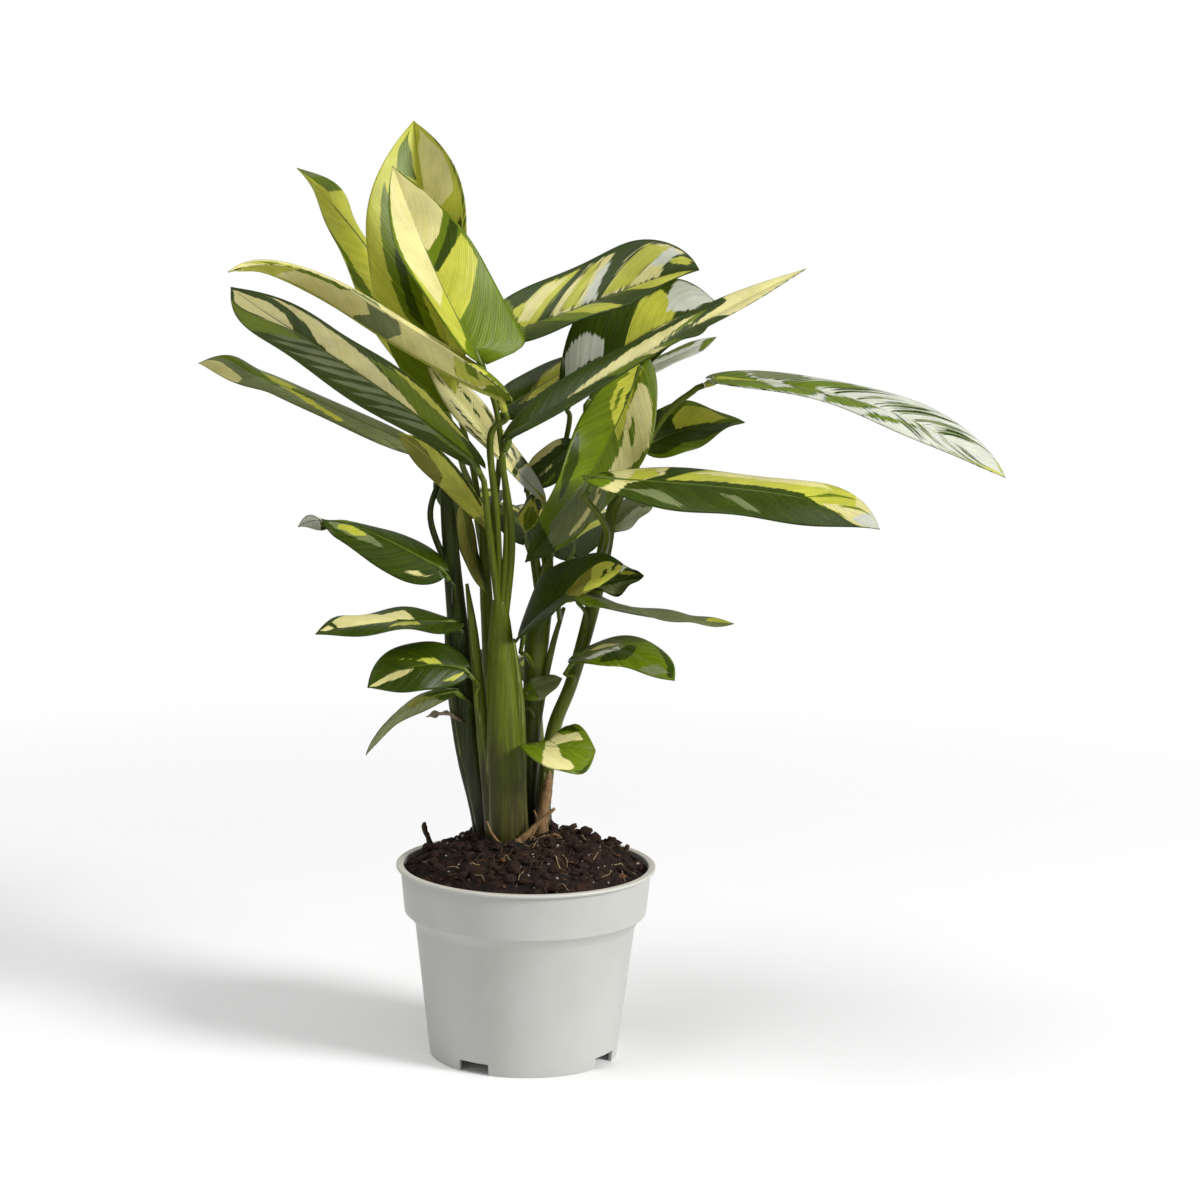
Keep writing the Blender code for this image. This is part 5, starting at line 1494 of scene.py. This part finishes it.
def add_light(name, place, size, watts):
    lamp = bpy.data.lights.new(name, "AREA")
    lamp.shape = "DISK"
    lamp.size = size
    lamp.energy = watts
    light = new_object(name, lamp)
    light.location = place
    light.rotation_euler = (Vector(LAMP_AIM) - Vector(place)).to_track_quat("-Z", "Y").to_euler()


def light_studio():
    """A white studio: the camera sees it white, and the plant is lit mostly by three soft lamps."""
    world = bpy.data.worlds.new("studio")
    world.use_nodes = True
    tree = world.node_tree
    sky = tree.nodes["Background"]
    sky.inputs["Color"].default_value = linear("ffffff")
    seen = add_node(tree, "LightPath", output="Is Camera Ray")
    strength = add_node(tree, "MapRange", (seen, 0.0, 1.0, SKY_LIGHT, 1.0))
    tree.links.new(strength, sky.inputs["Strength"])
    bpy.context.scene.world = world
    bpy.context.scene.view_settings.view_transform = "Standard"
    for name, place, size, watts in LAMPS:
        add_light(name, place, size, watts)


def add_camera():
    lens = bpy.data.cameras.new("camera")
    lens.lens = CAMERA_LENS
    lens.sensor_width = SENSOR_WIDTH
    camera = new_object("camera", lens)
    camera.matrix_world = (
        Matrix.Translation(CAMERA_PLACE)
        @ Matrix.Rotation(math.radians(90 + CAMERA_PITCH), 4, "X")
        @ Matrix.Rotation(math.radians(CAMERA_ROLL), 4, "Z")
    )
    bpy.context.scene.camera = camera


def add_plant():
    """The leaves and the shoots, with their skins."""
    top = leaf_material("leaf_upper_skin", TOP_TONES, roughness=0.34, gloss=0.3, ridge=0.3)
    under = leaf_material("leaf_lower_skin", UNDER_TONES, roughness=0.46, gloss=0.14, ridge=0.25)
    # Midribs are firm, with fine streaks along them. A dried leaf is papery, matt and flecked.
    green_rib = streaked_material("green_rib_skin", "46570e", "62731c", roughness=0.42, stretch=60)
    pale_rib = streaked_material("pale_rib_skin", "98a030", "b6b84c", roughness=0.42, stretch=60)
    papery = {"roughness": 0.7, "stretch": 120, "flecks": "33271c"}
    dry = streaked_material("dried_leaf_skin", "4b3f31", "80715c", **papery)
    skins = {
        LEAF_GREEN: (top, under, green_rib),
        LEAF_LIME: (top, under, pale_rib),
        DRY_BROWN: (dry, dry, dry),
    }
    for row in LEAVES:
        add_leaf(row, skins[row.colour])
    # Most stems take one skin. The left shoot's takes darker tones of it.
    usual_stem_skin = stem_material("stem_skin", ("46520a", "5f6b14"), ("2c200c", "4a4a18"))
    left_shoot_skin = stem_material("left_shoot_stem_skin", ("1d2406", "3f4a12"), ("141006", "2d2c10"))
    for name, trunks in SHOOTS.items():
        add_shoot(name, trunks, left_shoot_skin if name == "shoot_left" else usual_stem_skin)


def add_potting():
    """The pot, the peat in it, and what lies loose on the peat."""
    add_pot(pot_material())
    add_soil(peat_material("damp_peat", "0d0805", "2c1e15", scale=520.0))
    # Loose lumps have dried a little paler than the bed. Chips of bark are brown and less matt.
    lump = peat_material("peat_lumps", "120b07", "3d291c", scale=700.0)
    add_crumbs("peat_lumps", lump, count=620, seed=11, sizes=(0.7, 3.6), flatness=(0.5, 0.95))
    bark = peat_material("bark_chips", "3a2417", "7a5333", scale=400.0, roughness=0.8)
    add_crumbs("bark_chips", bark, count=60, seed=12, sizes=(1.0, 3.0), flatness=(0.2, 0.4))
    # Perlite and sand: pale, hard and small
    pale = peat_material("pale_grains", "8c8474", "c9c2b0", scale=900.0, roughness=0.8)
    add_crumbs("pale_grains", pale, count=95, seed=13, sizes=(0.6, 1.35), flatness=(0.6, 0.9), subdivisions=1)
    # Dry roots are straw-coloured, and the peat's own fibres brown.
    root = streaked_material("root_fibres", "6e5940", "a8946f", roughness=0.8, stretch=200)
    add_fibres("root_fibres", root, count=46, seed=14, lengths=(5, 15), radius=0.34)
    fine = streaked_material("peat_fibres", "2e1d12", "5c4029", roughness=0.85, stretch=200)
    add_fibres("peat_fibres", fine, count=150, seed=15, lengths=(4, 12), radius=0.3)
    # Old sheaths have dried to light brown, and twigs are dark and rough.
    sheath = streaked_material("dry_sheath", "5a3f26", "9a7b52", roughness=0.75, stretch=90)
    add_sticks("dry_sheath_bits", sheath, DRY_STICKS)
    twig = streaked_material("bark_twig", "2a1d14", "54402e", roughness=0.85, stretch=120)
    add_sticks("bark_twigs", twig, TWIGS)


light_studio()
add_camera()
add_floor(floor_material())
add_plant()
add_potting()
